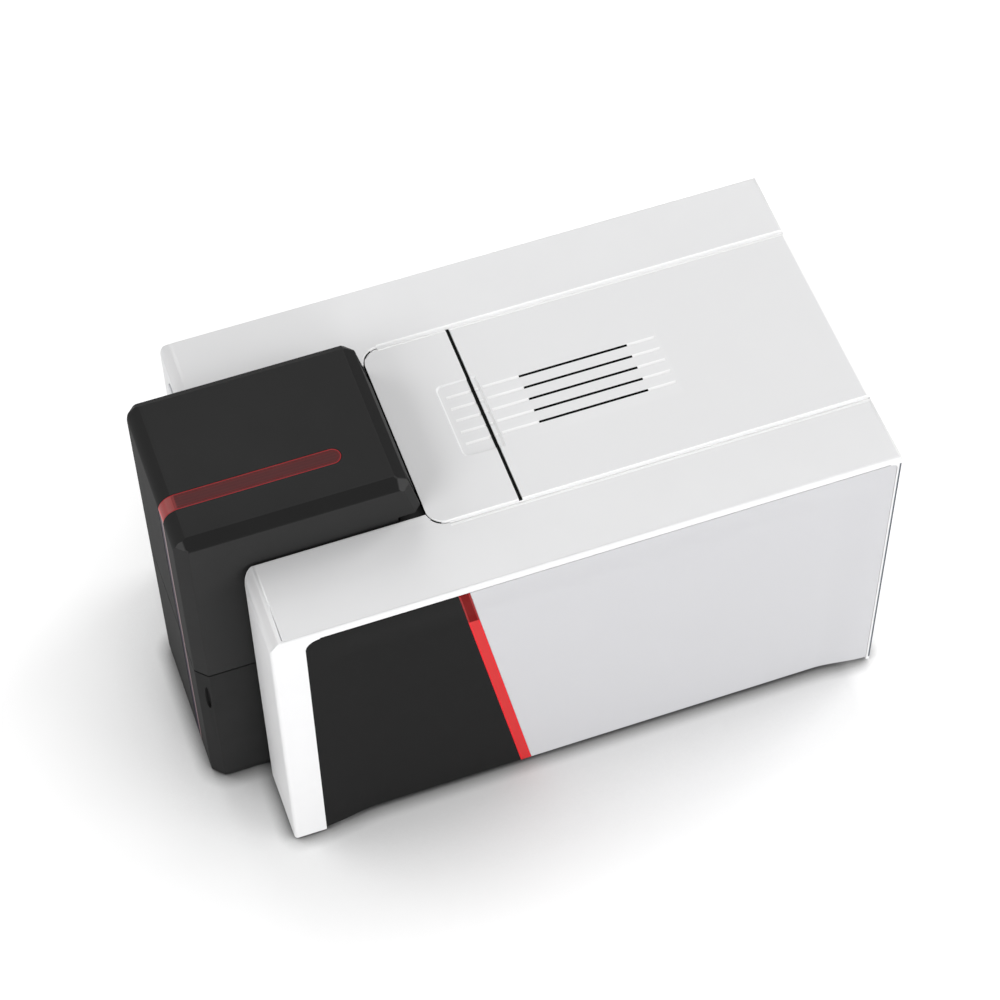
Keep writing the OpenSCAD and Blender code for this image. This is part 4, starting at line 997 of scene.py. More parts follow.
@dataclass
class SideShells:
    """The two white side casings with their dished two-colour panels.

    Attributes:
        bench: Where the pieces are made.
        band: The top band between them.
        dish: Depth of a panel's dish.
        ramp_along: Length of the dish's front and rear slopes.
        ramp_up: Height of its upper slope.
        corner: Radius of the panel's upper front corner.
        rear_corner: Radius of its upper rear corner.
        lean: Lean of the stripe, in degrees.
        stripe_gap: Gap between the stripe and the panels, along Y.
        rim: Width of the stripe's rims with a painted highlight, along Y.
        shaded_above: Height above which the stripe gets a painted shade, as under the rail's
            overhanging edge.
        thick: Thickness of a panel.
        rows: Number of mesh rows in a sheet.
        panel_columns: Number of mesh columns in a panel.
        stripe_columns: Number of mesh columns in the stripe.
        gather: Power by which the rows gather towards the top, where the corners turn.
        edge_blunt: Radius of a rail's outer edge as it is built.
        edge_soft: Radius that it gets.
        edge_from: Where behind the casing's front that edge starts.
        line_h: Height of the fine groove over the panels.
        line_d: Depth of that groove.
        line_under: How far its cutter reaches below the panels' top.
        shade_strip: Width and depth of the dark strip along the rear edge, a painted shade line.
        shade_strip_out: How far the dark strip stands out of the casing.
    """

    bench: Bench
    band: "TopBand"
    dish: float = 3.4
    ramp_along: float = 32.0
    ramp_up: float = 30.0
    corner: float = 8.0
    rear_corner: float = 4.0
    lean: float = 10.0
    stripe_gap: float = 0.1
    rim: float = 0.9
    shaded_above: float = 164.4
    thick: float = 2.4
    rows: int = 96
    panel_columns: int = 72
    stripe_columns: int = 14
    gather: float = 1.6
    edge_blunt: float = 2.5
    edge_soft: float = 1.1
    edge_from: float = 7.9
    line_h: float = 1.0
    line_d: float = 0.5
    line_under: float = 0.6
    shade_strip: tuple[float, float] = (1.5, 1.0)
    shade_strip_out: float = 0.06

    def build(self) -> None:
        """Builds both sides."""
        for side, sign in SIDES.items():
            node = f"{side}_side_casing"
            form = Form.of_node(self.bench.nodes[node])
            self._sharpen(form, sign)
            form.cut(*self.band.edge_breaks(sign), self._panel_line(sign)).round(0.35, 3, 40)
            rules = [
                # The seam's V walls get the painted highlight
                (self.band.in_groove, Finishes.PAINTED_HIGHLIGHT_WHITE),
                # The groove's floor gets a painted shade
                (self._line_floor(), Finishes.PAINTED_SHADE_PANEL_LINE),
            ]
            self.bench.finish_form(form, node, Finishes.SHELL_WHITE, rules)
            self._rear_shade_strip(side, sign)
            self._panels(side, sign)

    def _outer(self, node: str) -> float:
        """Distance of a node's outer face from the machine's middle."""
        return max(abs(v) for v in self.bench.span(node)[0])

    def _sharpen(self, form: Form, sign: int) -> None:
        """Gives a rail's blunt outer edge a smaller radius.

        Args:
            form: The casing's form.
            sign: 1 for the right side, -1 for the left one.
        """
        (_, outer), (y0, _), (_, top) = self.bench.span("right_side_casing")
        blunt, soft = self.edge_blunt, self.edge_soft
        for v in form.obj.data.vertices:
            x, y, z = v.co / MM
            across, up = sign * x - outer + blunt, z - top + blunt
            if min(across, up) > -0.01 and y > y0 + self.edge_from:
                t = math.atan2(up, across)
                v.co.x = sign * (outer - soft + soft * math.cos(t)) * MM
                v.co.z = (top - soft + soft * math.sin(t)) * MM

    def _panel_line(self, sign: int) -> Form:
        """The fine groove along the top of a side's panels.

        Args:
            sign: 1 for the right side, -1 for the left one.

        Returns:
            The cutter.
        """
        outer = self._outer("right_side_casing")
        _, (_, y1), (_, high) = self.bench.span("right_rear_side_panel")
        y0 = self.bench.span("right_front_panel")[1][0]
        wide = sorted_span(sign * (outer - self.line_d), sign * (outer + 1))
        ends = (y0 + self.corner, y1 - self.rear_corner)
        return Form.box("line", wide, ends, (high - self.line_under, high + self.line_h))

    def _line_floor(self) -> FaceTest:
        """The test that finds the floor of the groove over the panels, which gets a painted shade.

        Returns:
            The test.
        """
        floor = self._outer("right_side_casing") - self.line_d
        low = self.bench.span("right_rear_side_panel")[2][1]
        high = low + self.line_h

        def found(c: Vector, n: Vector) -> bool:
            """Tells whether a face is that floor."""
            return abs(n.x) > 0.9 and low < c.z < high and abs(abs(c.x) - floor) < 0.05

        return found

    def _rear_shade_strip(self, side: str, sign: int) -> None:
        """Builds the dark strip along a side's upright rear edge, a painted shade line for the seam
        there.

        Args:
            side: left or right.
            sign: 1 for the right side, -1 for the left one.
        """
        casing = f"{side}_side_casing"
        rear = self.bench.span(casing)[1][1]
        heights = self.bench.span(f"{side}_rear_side_panel")[2]
        outer = self._outer(casing)
        wide = sorted_span(sign * (outer - self.shade_strip[0]), sign * (outer + self.shade_strip_out))
        ends = (rear - self.shade_strip[1], rear + self.shade_strip_out)
        shade_strip = Form.box(f"{side}_rear_shade_strip", wide, ends, heights).round(0.15, 2)
        self.bench.finish_form(shade_strip, casing, Finishes.PAINTED_SHADE_STRIP, replaces=False)

    def _panels(self, side: str, sign: int) -> None:
        """Builds the dark panel, the stripe and the grey panel of a side.

        Args:
            side: left or right.
            sign: 1 for the right side, -1 for the left one.
        """
        names = [f"{side}_{part}" for part in ("front_panel", "accent_stripe", "rear_side_panel")]
        first, stripe, last = (self.bench.span(name) for name in names)
        slope = math.tan(math.radians(self.lean))
        ends, heights = (first[1][0], last[1][1]), last[2]
        face = SideFace(sign, self._outer(names[0]), ends, heights, slope)
        # The stripe's own box gives both of its edges, because it leans by a known angle
        heel = stripe[1][1] + slope * heights[0]
        toe = stripe[1][0] + slope * heights[1]

        def rim(c: Vector, _: Vector) -> bool:
            """Tells whether a face lies on the stripe's front or rear rim."""
            along = c.y + slope * c.z
            return along < toe + self.rim or along > heel - self.rim

        def shaded(c: Vector, _: Vector) -> bool:
            """Tells whether a face lies in the stripe's shaded upper end."""
            return c.z > self.shaded_above

        # Painted light on the stripe: highlight on its rims, shade on its upper end
        tints = [
            (lambda c, n: shaded(c, n) and rim(c, n), Finishes.STRIPE_RIM_IN_PAINTED_SHADE),
            (shaded, Finishes.STRIPE_PAINTED_SHADE),
            (rim, Finishes.STRIPE_RIM_PAINTED_HIGHLIGHT),
        ]
        sheets = (
            (None, toe - self.stripe_gap, Finishes.PANEL_BLACK, []),
            (toe, heel, Finishes.STRIPE_RED, tints),
            (heel + self.stripe_gap, None, Finishes.PANEL_GREY, []),
        )
        for node, (start, end, finish, rules) in zip(names, sheets):
            self.bench.finish_form(self._sheet(node, face, start, end), node, finish, rules)

    def _sheet(self, node: str, face: SideFace, start: float | None, end: float | None) -> Form:
        """Builds one dished sheet between two leaning lines.

        Args:
            node: The node that the sheet stands for.
            face: Where the side's sheets lie.
            start: Foot of the front line at height 0, or None for the panel's front end.
            end: Foot of the rear line at height 0, or None for the panel's rear end.

        Returns:
            The sheet.
        """
        (front, rear), (low, top) = face.ends, face.heights
        columns = self.panel_columns if None in (start, end) else self.stripe_columns
        shape = bmesh.new()
        grid = []
        for r in range(self.rows + 1):
            z = low + (top - low) * (1 - (1 - r / self.rows) ** self.gather)
            y0 = front + self._corner_inset(z, top, self.corner)
            y1 = rear - self._corner_inset(z, top, self.rear_corner)
            if start is not None:
                y0 = start - face.slope * z
            if end is not None:
                y1 = end - face.slope * z
            row = []
            for c in range(columns + 1):
                y = y0 + (y1 - y0) * c / columns
                depth = self.dish * smooth_step((y - front) / self.ramp_along)
                depth *= smooth_step((rear - y) / self.ramp_along)
                depth *= smooth_step((top - z) / self.ramp_up)
                row.append(shape.verts.new((face.sign * (face.outer - depth), y, z)))
            grid.append(row)
        for below, above in zip(grid, grid[1:]):
            for c in range(columns):
                corners = [below[c], below[c + 1], above[c + 1], above[c]]
                shape.faces.new(corners[::face.sign])
        back = bmesh.ops.extrude_face_region(shape, geom=list(shape.faces), use_keep_orig=True)
        moved = [v for v in back["geom"] if isinstance(v, bmesh.types.BMVert)]
        inwards = Vector((-face.sign * self.thick, 0, 0))
        bmesh.ops.translate(shape, verts=moved, vec=inwards)
        return Form(node + "_piece", shape).round(0.25, 2, 50)

    @staticmethod
    def _corner_inset(z: float, top: float, radius: float) -> float:
        """How far a rounded upper corner draws the end in at a height.

        Args:
            z: The height.
            top: The height of the panel's top.
            radius: The corner's radius.

        Returns:
            The inset.
        """
        rise = z - (top - radius)
        if rise <= 0:
            return 0.0
        return radius - math.sqrt(max(0.0, radius * radius - rise * rise))


@dataclass
class TopBand:
    """The fixed bridge cover and the hinged hood, with the finger pad, the grooves and the slots.

    Attributes:
        bench: Where the pieces are made.
        top: Height of the band's top.
        half: Half of the band's width.
        seam: Gap between the band and the rails.
        over: How far the cutters reach over the surface.
        break_w: Widths of the two walls of the V along the seams.
        break_w_left: Width of the second wall on the left side.
        break_d: Depth of that V.
        break_shift: How far its deepest line lies off the middle of the seam.
        break_end: Its rear end.
        bend_w: Width of its walls round the bridge cover's corner.
        bend: Where round the corner it starts and how far it turns, in degrees.
        pad_half: Half width of the finger pad.
        pad: Front and rear ends of the pad.
        pad_d: Depth of the pad.
        pad_r: Radius of its front corners.
        pad_rim: Width of the leaning rim round the pad, with room to spare.
        fill_d: Depth of the blunt recesses that are filled first.
        fill_past: How far the filling goes past them, along Y.
        pitch: Distance between two slots.
        slots: Number of slots.
        slot_w: Width of a slot.
        slot_d: Depth of a slot.
        slot: Ends of the slots.
        groove: Ends of the grooves on the slots' lines.
        groove_gap: How far before and behind the pad's rear end a groove breaks off.
        groove_w: Widths of a groove's two walls, the one that faces +X first.
        groove_d: Depth of a groove.
        corner: Radius of the bridge cover's front corners.
        gap_shade_half: Half length of the dark strip, a painted shade, in the gap between the
            bridge cover and the hood.
        gap_shade_out: How far the dark strip round the bridge cover's front lies off it, and its
            far face.
        gap_shade_bend: How far that strip turns round a corner, in degrees.
        sill_half: Half length of the sill behind the feeder's cover.
        sill_y: How far its front and rear lie before the bridge cover.
        sill_z: Its lowest and highest point.
        lip_end: Rear end of the lips under the seams.
        lip_d: Depth of those lips.
        slot_shade_half: Half width of the black fill under the slots, a painted shade.
        slot_shade_d: Depth of its top under the hood's.
        slot_shade_t: Its thickness.
        slot_shade_past: How far it goes past the slots.
    """

    bench: Bench
    top: float = 204.0
    half: float = 60.1
    seam: float = 0.6
    over: float = 1.0
    break_w: tuple[float, float] = (1.5, 2.6)
    break_w_left: float = 2.0
    break_d: float = 0.95
    break_shift: float = 0.3
    break_end: float = 195.0
    bend_w: float = 1.2
    bend: tuple[float, float] = (32.0, 60.0)
    pad_half: float = 23.7
    pad: Span = (-26.3, -4.4)
    pad_d: float = 0.8
    pad_r: float = 3.0
    pad_rim: float = 2.0
    fill_d: float = 2.45
    fill_past: float = 3.0
    pitch: float = 8.0
    slots: int = 5
    slot_w: float = 1.6
    slot_d: float = 5.0
    slot: Span = (18.0, 80.0)
    groove: Span = (-23.2, 96.0)
    groove_gap: tuple[float, float] = (0.4, 1.6)
    groove_w: tuple[float, float] = (1.3, 0.45)
    groove_d: float = 0.6
    corner: float = 10.0
    gap_shade_half: float = 59.6
    gap_shade_out: Span = (0.04, 0.54)
    gap_shade_bend: float = 65.0
    sill_half: float = 51.5
    sill_y: tuple[float, float] = (13.5, 0.6)
    sill_z: Span = (198.5, 201.6)
    lip_end: float = 188.5
    lip_d: float = 6.0
    slot_shade_half: float = 20.0
    slot_shade_d: float = 2.55
    slot_shade_t: float = 0.6
    slot_shade_past: float = 3.0

    def build(self) -> None:
        """Builds the two plates, and in their gaps the dark strips and the black slot fill, both
        painted shade, the sill and the lips.
        """
        self._plate("front_bridge_cover")
        self._plate("hood")
        self._gap_shade()
        self._front_gap_shade()
        self._sill()
        self._seam_seals()
        self._slot_shade()

    def edge_breaks(self, side: int) -> list[Form]:
        """The V that breaks the edges along one seam and round the bridge's corner.

        Args:
            side: 1 for the right seam, -1 for the left one.

        Returns:
            The cutters.
        """
        start = self.bench.span("front_bridge_cover")[1][0] + self.corner
        deep = side * (self.half + self.seam / 2) + self.break_shift
        walls = self.break_w if side > 0 else (self.break_w[0], self.break_w_left)
        straight = self._vee(deep, (start, self.break_end), self.top, walls, self.break_d)
        # Round the corner the V follows the gap, which stays open there
        centre, radius = side * (self.half - self.corner), self.corner + self.seam / 2
        out = self.bend_w * (self.break_d + self.over) / self.break_d
        low, high = self.top - self.break_d, self.top + self.over
        profile = ((radius, low), (radius + out, high), (radius - out, high))
        shape = bmesh.new()
        loops = []
        for i in range(9):
            t = math.radians(self.bend[0] + self.bend[1] * i / 8)
            across, along = side * math.sin(t), math.cos(t)
            points = [(centre + r * across, start - r * along, z) for r, z in profile]
            loops.append([shape.verts.new(point) for point in points])
        bridge_loops(shape, loops)
        return [straight, Form("corner_vee", shape)]

    def _vee(
        self, x: float, y: Span, top: float, walls: tuple[float, float], depth: float
    ) -> Form:
        """A V-shaped cutter along Y.

        Args:
            x: Its deepest line.
            y: Its ends.
            top: Height of the surface that it cuts.
            walls: Widths of its walls at the surface: the one that faces +X, then the other.
            depth: Its depth.

        Returns:
            The cutter.
        """
        a, b = (w * (depth + self.over) / depth for w in walls)
        high = top + self.over
        return Form.prism("vee", Axis.Y, y, [(top - depth, x), (high, x + b), (high, x - a)])

    def _lines(self) -> list[float]:
        """Where the slots lie across the machine."""
        return [(i - (self.slots - 1) / 2) * self.pitch for i in range(self.slots)]

    def _recess(self) -> Form:
        """The pad's recess, with rounded front corners and walls that lean outwards.

        Returns:
            The cutter.
        """
        low, high = self.pad
        r, half = self.pad_r, self.pad_half
        turns = [math.radians(90 * i / 8) for i in range(9)]
        outline = [(half, high), (-half, high)]
        outline += [(-half + r - r * math.cos(t), low + r - r * math.sin(t)) for t in turns]
        outline += [(half - r + r * math.sin(t), low + r - r * math.cos(t)) for t in turns]
        heights = (self.top - self.pad_d, self.top + self.over)
        form = Form.prism("recess", Axis.Z, heights, outline)
        middle, rise = (low + high) / 2, self.over + self.pad_d
        along = 1 + 2 * rise / (high - low)
        for v in form.obj.data.vertices:
            if v.co.z > self.top * MM:
                v.co.x *= 1 + rise / half
                v.co.y = (middle + (v.co.y / MM - middle) * along) * MM
        return form

    def _plate(self, node: str) -> None:
        """Rebuilds a plate's top: fills the blunt recesses and cuts finished ones.

        Args:
            node: The plate's node.
        """
        _, (y0, y1), _ = self.bench.span(node)
        form = Form.of_node(self.bench.nodes[node])
        half = self.pad_half + self.pad_rim
        ends = (self.pad[0] - self.fill_past, y1)
        if node == "hood":
            ends = (y0, min(y1, self.groove[1] + self.fill_past))
        form.join(Form.box("fill", (-half, half), ends, (self.top - self.fill_d, self.top)))
        cutters = [self._recess(), *self.edge_breaks(1), *self.edge_breaks(-1)]
        shift = (self.groove_w[0] - self.groove_w[1]) / 2
        rib = (self.groove[0], self.pad[1] - self.groove_gap[0])
        line = (self.pad[1] + self.groove_gap[1], self.groove[1])
        lines = [(rib, self.top - self.pad_d)]
        if node == "hood":
            lines.append((line, self.top))
        for x in self._lines():
            for reach, level in lines:
                cutters.append(self._vee(x + shift, reach, level, self.groove_w, self.groove_d))
            if node == "hood":
                wide = (x - self.slot_w / 2, x + self.slot_w / 2)
                deep = (self.top - self.slot_d, self.top + self.over)
                cutters.append(Form.box("slot", wide, self.slot, deep))
        form.cut(*cutters).round(0.16, 2, 25)
        # Groove walls get the painted highlight; the pad's rim keeps the plain white
        rules = [(self._on_rim, Finishes.SHELL_WHITE), (self.in_groove, Finishes.PAINTED_HIGHLIGHT_WHITE)]
        self.bench.finish_form(form, node, Finishes.SHELL_WHITE, rules)

    def _on_rim(self, c: Vector, _: Vector) -> bool:
        """Tells whether a face lies on the pad's rim, apart from its rear part in the light.

        Args:
            c: The face's centre, in mm.

        Returns:
            Whether it does.
        """
        front, rear = self.pad[0] - self.pad_rim, self.pad[1] - 1
        if abs(c.x) > self.pad_half + self.pad_rim or not front < c.y < rear:
            return False
        return abs(c.x) > self.pad_half - self.pad_r or c.y < self.pad[0] + 1.5

    def in_groove(self, c: Vector, n: Vector) -> bool:
        """Tells whether a face is a sloped wall of a groove, of the pad's rim or of a seam's V,
        where a painted highlight goes.

        Args:
            c: The face's centre, in mm.
            n: Its normal.

        Returns:
            Whether it is.
        """
        sloped = 0.3 < n.z < 0.97
        near = abs(c.x) < self.half + self.seam + 3
        return sloped and near and self.top - 1.4 < c.z < self.top - 0.03

    def _gap_shade(self) -> None:
        """Builds the black strip in the gap between the bridge cover and the hood, a painted shade
        for the gap's depth.
        """
        front = self.bench.span("front_bridge_cover")[1][1]
        rear = self.bench.span("hood")[1][0]
        wide, ends = (-self.gap_shade_half, self.gap_shade_half), (front + 0.02, rear - 0.2)
        strip = Form.box("gap_shade_strip", wide, ends, (self.top - 5, self.top - 0.5)).round(0.3, 2)
        self.bench.finish_form(strip, "front_bridge_cover", Finishes.GAP_PAINTED_SHADE, replaces=False)

    def _front_gap_shade(self) -> None:
        """Builds the black strip in the gap round the bridge cover's front edge, a painted shade
        for that deep seam.
        """
        front = self.bench.span("front_bridge_cover")[1][0]
        middle, centre = self.half - self.corner, front + self.corner
        turns = [math.radians(self.gap_shade_bend * i / 12) for i in range(13)]
        rings = []
        for out in self.gap_shade_out:
            r = self.corner + out
            right = [(middle + r * math.sin(t), centre - r * math.cos(t)) for t in turns]
            rings.append([(-x, y) for x, y in right[::-1]] + right)
        outline = rings[0] + rings[1][::-1]
        strip = Form.prism("bridge_edge_shade_strip", Axis.Z, (self.top - 8, self.top - 0.35), outline)
        self.bench.finish_form(strip, "front_bridge_cover", Finishes.GAP_PAINTED_SHADE, replaces=False)

    def _sill(self) -> None:
        """Builds the dark sill that closes the gap behind the feeder's cover."""
        front = self.bench.span("front_bridge_cover")[1][0]
        wide = (-self.sill_half, self.sill_half)
        ends = (front - self.sill_y[0], front - self.sill_y[1])
        sill = Form.box("feeder_sill", wide, ends, self.sill_z).round(0.4, 2)
        self.bench.finish_form(sill, "front_bridge_cover", Finishes.SHELL_BLACK, replaces=False)

    def _seam_seals(self) -> None:
        """Builds the white lip that closes each seam under its V, in the white with the painted
        highlight.
        """
        front = self.bench.span("front_bridge_cover")[1][0] + self.corner
        low = self.top - self.lip_d
        for side, sign in SIDES.items():
            near, far = self.half + 0.03, self.half + self.seam - 0.02
            a, b = sorted_span(sign * near, sign * far)
            wall = sign * (self.half + self.seam / 2) + self.break_shift - self.break_w[0]
            tops = [(self.top - self.break_d * (x - wall) / self.break_w[0], x) for x in (b, a)]
            outline = [(low, a), (low, b), *tops]
            lip = Form.prism(f"{side}_seam_lip", Axis.Y, (front, self.lip_end), outline)
            self.bench.finish_form(
                lip, f"{side}_side_casing", Finishes.PAINTED_HIGHLIGHT_WHITE, replaces=False
            )

    def _slot_shade(self) -> None:
        """Builds the black fill that fills the hood's slots from below, a painted shade for their
        depth.
        """
        base, (front, rear) = self.top - self.slot_shade_d, self.slot
        wide = (-self.slot_shade_half, self.slot_shade_half)
        ends = (front - self.slot_shade_past, rear + self.slot_shade_past)
        form = Form.box("slot_shade_fill", wide, ends, (base - self.slot_shade_t, base))
        half = self.slot_w / 2
        for x in self._lines():
            wide, ends = (x - half + 0.04, x + half - 0.04), (front + 0.05, rear - 0.05)
            form.join(Form.box("rib", wide, ends, (base - 0.3, self.top - 0.3)))
        self.bench.finish_form(form, "hood", Finishes.SLOT_PAINTED_SHADE, replaces=False)


@dataclass
class Feeder:
    """The black feeder: its hinged cover with the red window, and what lies under it.

    Attributes:
        bench: Where the pieces are made.
        chamfer: Width of the cover's chamfers.
        heel: Width of the chamfers down the cover's rear corners.
        top_chamfer: Height of the chamfers round its top.
        brow: Radius of the top's front edge.
        nose: How much the corners between the chamfers are cut off.
        nose_rise: Rise of the corners' direction, against 1 across and 1 along.
        rear: Where the cover's rear starts to slope, below the top chamfer.
        slope: How far the rear runs back for each mm down.
        wall: Thickness of its wall.
        soft: Radius of the outer edges.
        lip: Height of the cover's lower edge at the rear.
        hinge_in: How far the hinge's axis lies before the sloping rear.
        hinge_z: Height of that axis.
        bore: Radius of the hinge's bores.
        ear: Where the solid ears start and end across the machine, either side of the middle.
        ear_r: Half of an ear's size along the machine, and its depth under the axis.
        notch: Where the notches beside the ears start and end.
        notch_up: How far they reach over the axis.
        window_t: Thickness of the window.
        window_under: Gap between the window and the floor of its groove.
        sunk: How far the window lies below the cover's face.
        window_gap: Gap round the window.
        glint: How far beside its middle the window's front takes the light.
        rims: Widths of the bands along the window's edge: rim with a painted highlight, plain band
            and inner line.
        tip: How far back from the front the brightest part of its painted highlight reaches.
        level_half: Half width of the level slot in the cover's front.
        level_z: Its lowest and highest point.
        seam: How much the edges along the hopper's seam are drawn back.
    """

    bench: Bench
    chamfer: float = 6.4
    heel: float = 4.2
    top_chamfer: float = 5.0
    brow: float = 9.5
    nose: float = 1.2
    nose_rise: float = 1.15
    rear: float = -64.5
    slope: float = 5.8 / 23.5
    wall: float = 2.5
    soft: float = 2.0
    lip: float = 205.5
    hinge_in: float = 5.5
    hinge_z: float = 224.0
    bore: float = 1.55
    ear: Span = (44.2, 60.0)
    ear_r: float = 4.0
    notch: Span = (36.5, 43.6)
    notch_up: float = 3.5
    window_t: float = 1.4
    window_under: float = 0.05
    sunk: float = 0.15
    window_gap: float = 0.3
    glint: float = 0.6
    rims: tuple[float, ...] = (0.5, 0.9, 0.22)
    tip: float = 1.0
    level_half: float = 3.0
    level_z: Span = (125.0, 188.0)
    seam: float = 0.4

    def build(self) -> None:
        """Builds the cover, the window and the magazine's pieces."""
        self.limits = self.bench.span("feeder_cover")
        self._cover()
        self._window()
        self.bench.rework("card_magazine", Finishes.MOULDED_DARK, edge=0.3)
        self.bench.rework("card_pusher", Finishes.MOULDED_GREY, edge=0.4)
        self.bench.rework("card_gauge", Finishes.AMBER, edge=0.25)
        self.bench.rework("feeder_hinge_rod", Finishes.STEEL_ROD, edge=0.2)
        pile(self.bench, "card_stack")

    def gem(self, name: str, inset: float) -> Form:
        """The feeder's faceted outer form, or the same form one inset further in.

        Args:
            name: The form's name.
            inset: How far in every face lies.

        Returns:
            The form, closed below the floor.
        """
        (x0, x1), (y0, _), (_, z1) = self.limits
        planes = [Plane(p.normal, p.reach - inset) for p in self._planes()]
        return Form.convex(name, (x0 - 9, x1 + 9), (y0 - 9, 60), (-20, z1 + 9), planes)

    def _planes(self) -> list[Plane]:
        """The faces of the feeder's outer form, with the tangent planes that round its edges.

        Returns:
            The planes.
        """
        (x0, x1), (y0, _), (_, z1) = self.limits
        half, rear, c, high = (x1 - x0) / 2, self.rear, self.chamfer, self.top_chamfer
        shoulder, lean = z1 - high, self.slope
        front = Plane.through((0, y0, 0), (0, -1, 0))
        top = Plane.through((0, 0, z1), (0, 0, 1))
        back = Plane.through((0, rear, shoulder), (0, 1, lean))
        ridge = Plane.through((0, rear, shoulder), (0, high, c))
        found = [front, top, back, ridge, *front.rounding(top, self.brow, 10)]
        edges = [(top, ridge), (ridge, back)]
        # Where the chamfers of a corner meet: about half a chamfer in, and that much up
        tip = c / 2 + 0.1
        peak = shoulder + tip * high / c
        for s in (-1, 1):
            side = Plane.through((s * half, 0, 0), (s, 0, 0))
            slant = Plane.through((s * half, 0, shoulder), (s * high, 0, c))
            bow = Plane.through((s * half, y0 + c, 0), (s, -1, 0))
            heel = Plane.through((s * half, rear - self.heel, shoulder), (s, 1, lean))
            found += [side, slant, bow, heel]
            edges += [(top, slant), (slant, side), (side, bow), (bow, front), (slant, bow)]
            edges += [(side, heel), (heel, back), (slant, ridge), (slant, heel), (ridge, heel)]
            corners = ((-1, y0 + tip, (slant, bow)), (1, rear - tip, (slant, heel, ridge)))
            for way, y, near in corners:
                corner = Plane.through((s * (half - tip), y, peak), (s, way, self.nose_rise))
                corner = Plane(corner.normal, corner.reach - self.nose)
                found.append(corner)
                edges += [(corner, other) for other in near]
        for one, other in edges:
            found += one.rounding(other, self.soft, 4)
        return found

    def window_path(self, name: str, gap: float, z: Span) -> Form:
        """The upright prism over the window's round-ended path.

        Args:
            name: The form's name.
            gap: How much wider it is on each side.
            z: Its limits in height.

        Returns:
            The prism.
        """
        (x0, x1), (y0, y1), _ = self.bench.span("feeder_window")
        half, middle = (x1 - x0) / 2 + gap, (x0 + x1) / 2
        centre = y1 - (x1 - x0) / 2
        turns = [math.pi * i / 20 for i in range(21)]
        outline = [(middle + half, y0 - 2)]
        outline += [(middle + half * math.cos(t), centre + half * math.sin(t)) for t in turns]
        outline += [(middle - half, y0 - 2)]
        return Form.prism(name, Axis.Z, z, outline)

    def window_groove(self, z: Span) -> Form:
        """The groove that holds a window.

        Args:
            z: Limits in height of the piece that has the groove.

        Returns:
            The cutter.
        """
        groove = self.window_path("groove", self.window_gap, (z[0] - PAST, z[1] + PAST))
        return groove.cut(self.gem("groove_floor", self.window_t + self.window_under))

    def _cover(self) -> None:
        """Builds the hinged cover."""
        (x0, x1), (y0, _), (z0, z1) = self.limits
        axis_y, axis_z = self.rear - self.hinge_in, self.hinge_z
        wide = (x0 - PAST, x1 + PAST)
        cover = self.gem("feeder_cover_piece", 0)
        hollow = self.gem("hollow", self.wall)
        for side in SIDES.values():
            ends = (axis_y - self.ear_r, axis_y + self.ear_r)
            heights = (axis_z - self.ear_r, z1 + PAST)
            hollow.cut(Form.box("ear", self._mirrored(self.ear, side), ends, heights))
        behind = self.rear - self.chamfer - self.nose
        cover.cut(
            hollow,
            Form.box("below", wide, (y0 - PAST, 65), (-40, z0 + self.seam)),
            Form.box("behind", wide, (behind, 65), (-40, self.lip)),
        )
        groove = self.window_groove((z0, z1))
        middle = self.bench.middle("feeder_window", Axis.X)
        slot = (middle - self.level_half, middle + self.level_half)
        level = Form.box("level", slot, (y0 - PAST, y0 + self.wall + 3), self.level_z)
        cover.cut(groove, level)
        for side in SIDES.values():
            heights = (0, axis_z + self.notch_up)
            across = self._mirrored(self.notch, side)
            cover.cut(Form.box("notch", across, (self.rear - 4, 5), heights))
        ends = (x0 + self.wall, x1 - self.wall)
        cover.cut(Form.rod("bore", Axis.X, ends, (axis_y, axis_z), self.bore))
        rules = [
            # The corner facets get a painted highlight
            (lambda c, n: self._on_corner(n, 0.97), Finishes.SHELL_BLACK_PAINTED_HIGHLIGHT),
            (lambda c, n: self._on_corner(n, 0.92), Finishes.SHELL_BLACK_PAINTED_HIGHLIGHT_FADE),
            # Painted shade on the chamfers and the front, painted light on the sides
            (self._on_chamfer, Finishes.PAINTED_SHADE_BLACK_CHAMFER),
            (lambda c, n: n.y < -0.2 and abs(n.x) < 0.3, Finishes.PAINTED_SHADE_BLACK_FRONT),
            (lambda c, n: abs(n.x) > 0.95, Finishes.PAINTED_LIGHT_BLACK_SIDE),
        ]
        self.bench.finish_form(cover, "feeder_cover", Finishes.SHELL_BLACK, rules)

    @staticmethod
    def _mirrored(limits: Span, side: int) -> Span:
        """Two distances from the middle as limits on one side of it."""
        return sorted_span(side * limits[0], side * limits[1])

    @staticmethod
    def _on_chamfer(_: Vector, n: Vector) -> bool:
        """Tells whether a face belongs to a side or rear chamfer round the top, which gets a
        painted shade.
        """
        return 0.3 < n.z < 0.9 and (abs(n.y) < 0.1 or (abs(n.x) < 0.1 and n.y > 0))

    def _on_corner(self, n: Vector, cosine: float) -> bool:
        """Tells whether a face lies at a corner between the chamfers, where a painted highlight
        goes.

        Args:
            n: The face's normal.
            cosine: Least cosine of its angle to the corner's own direction.

        Returns:
            Whether it does.
        """
        way = Vector((1, 1, self.nose_rise)).normalized()
        return Vector((abs(n.x), abs(n.y), n.z)).dot(way) > cosine

    def window_strip(self, node: str, z: Span) -> Form:
        """The tinted strip of a window, with an edge where its front starts to take the light.

        Args:
            node: The window's node.
            z: Limits in height of the upright prism that it fills.

        Returns:
            The strip.
        """
        strip = self.gem(node + "_piece", self.sunk)
        strip.keep(self.window_path("strip", 0, z))
        strip.cut(self.gem("under", self.window_t))
        return strip.divide(self.bench.middle(node, Axis.X) + self.glint)

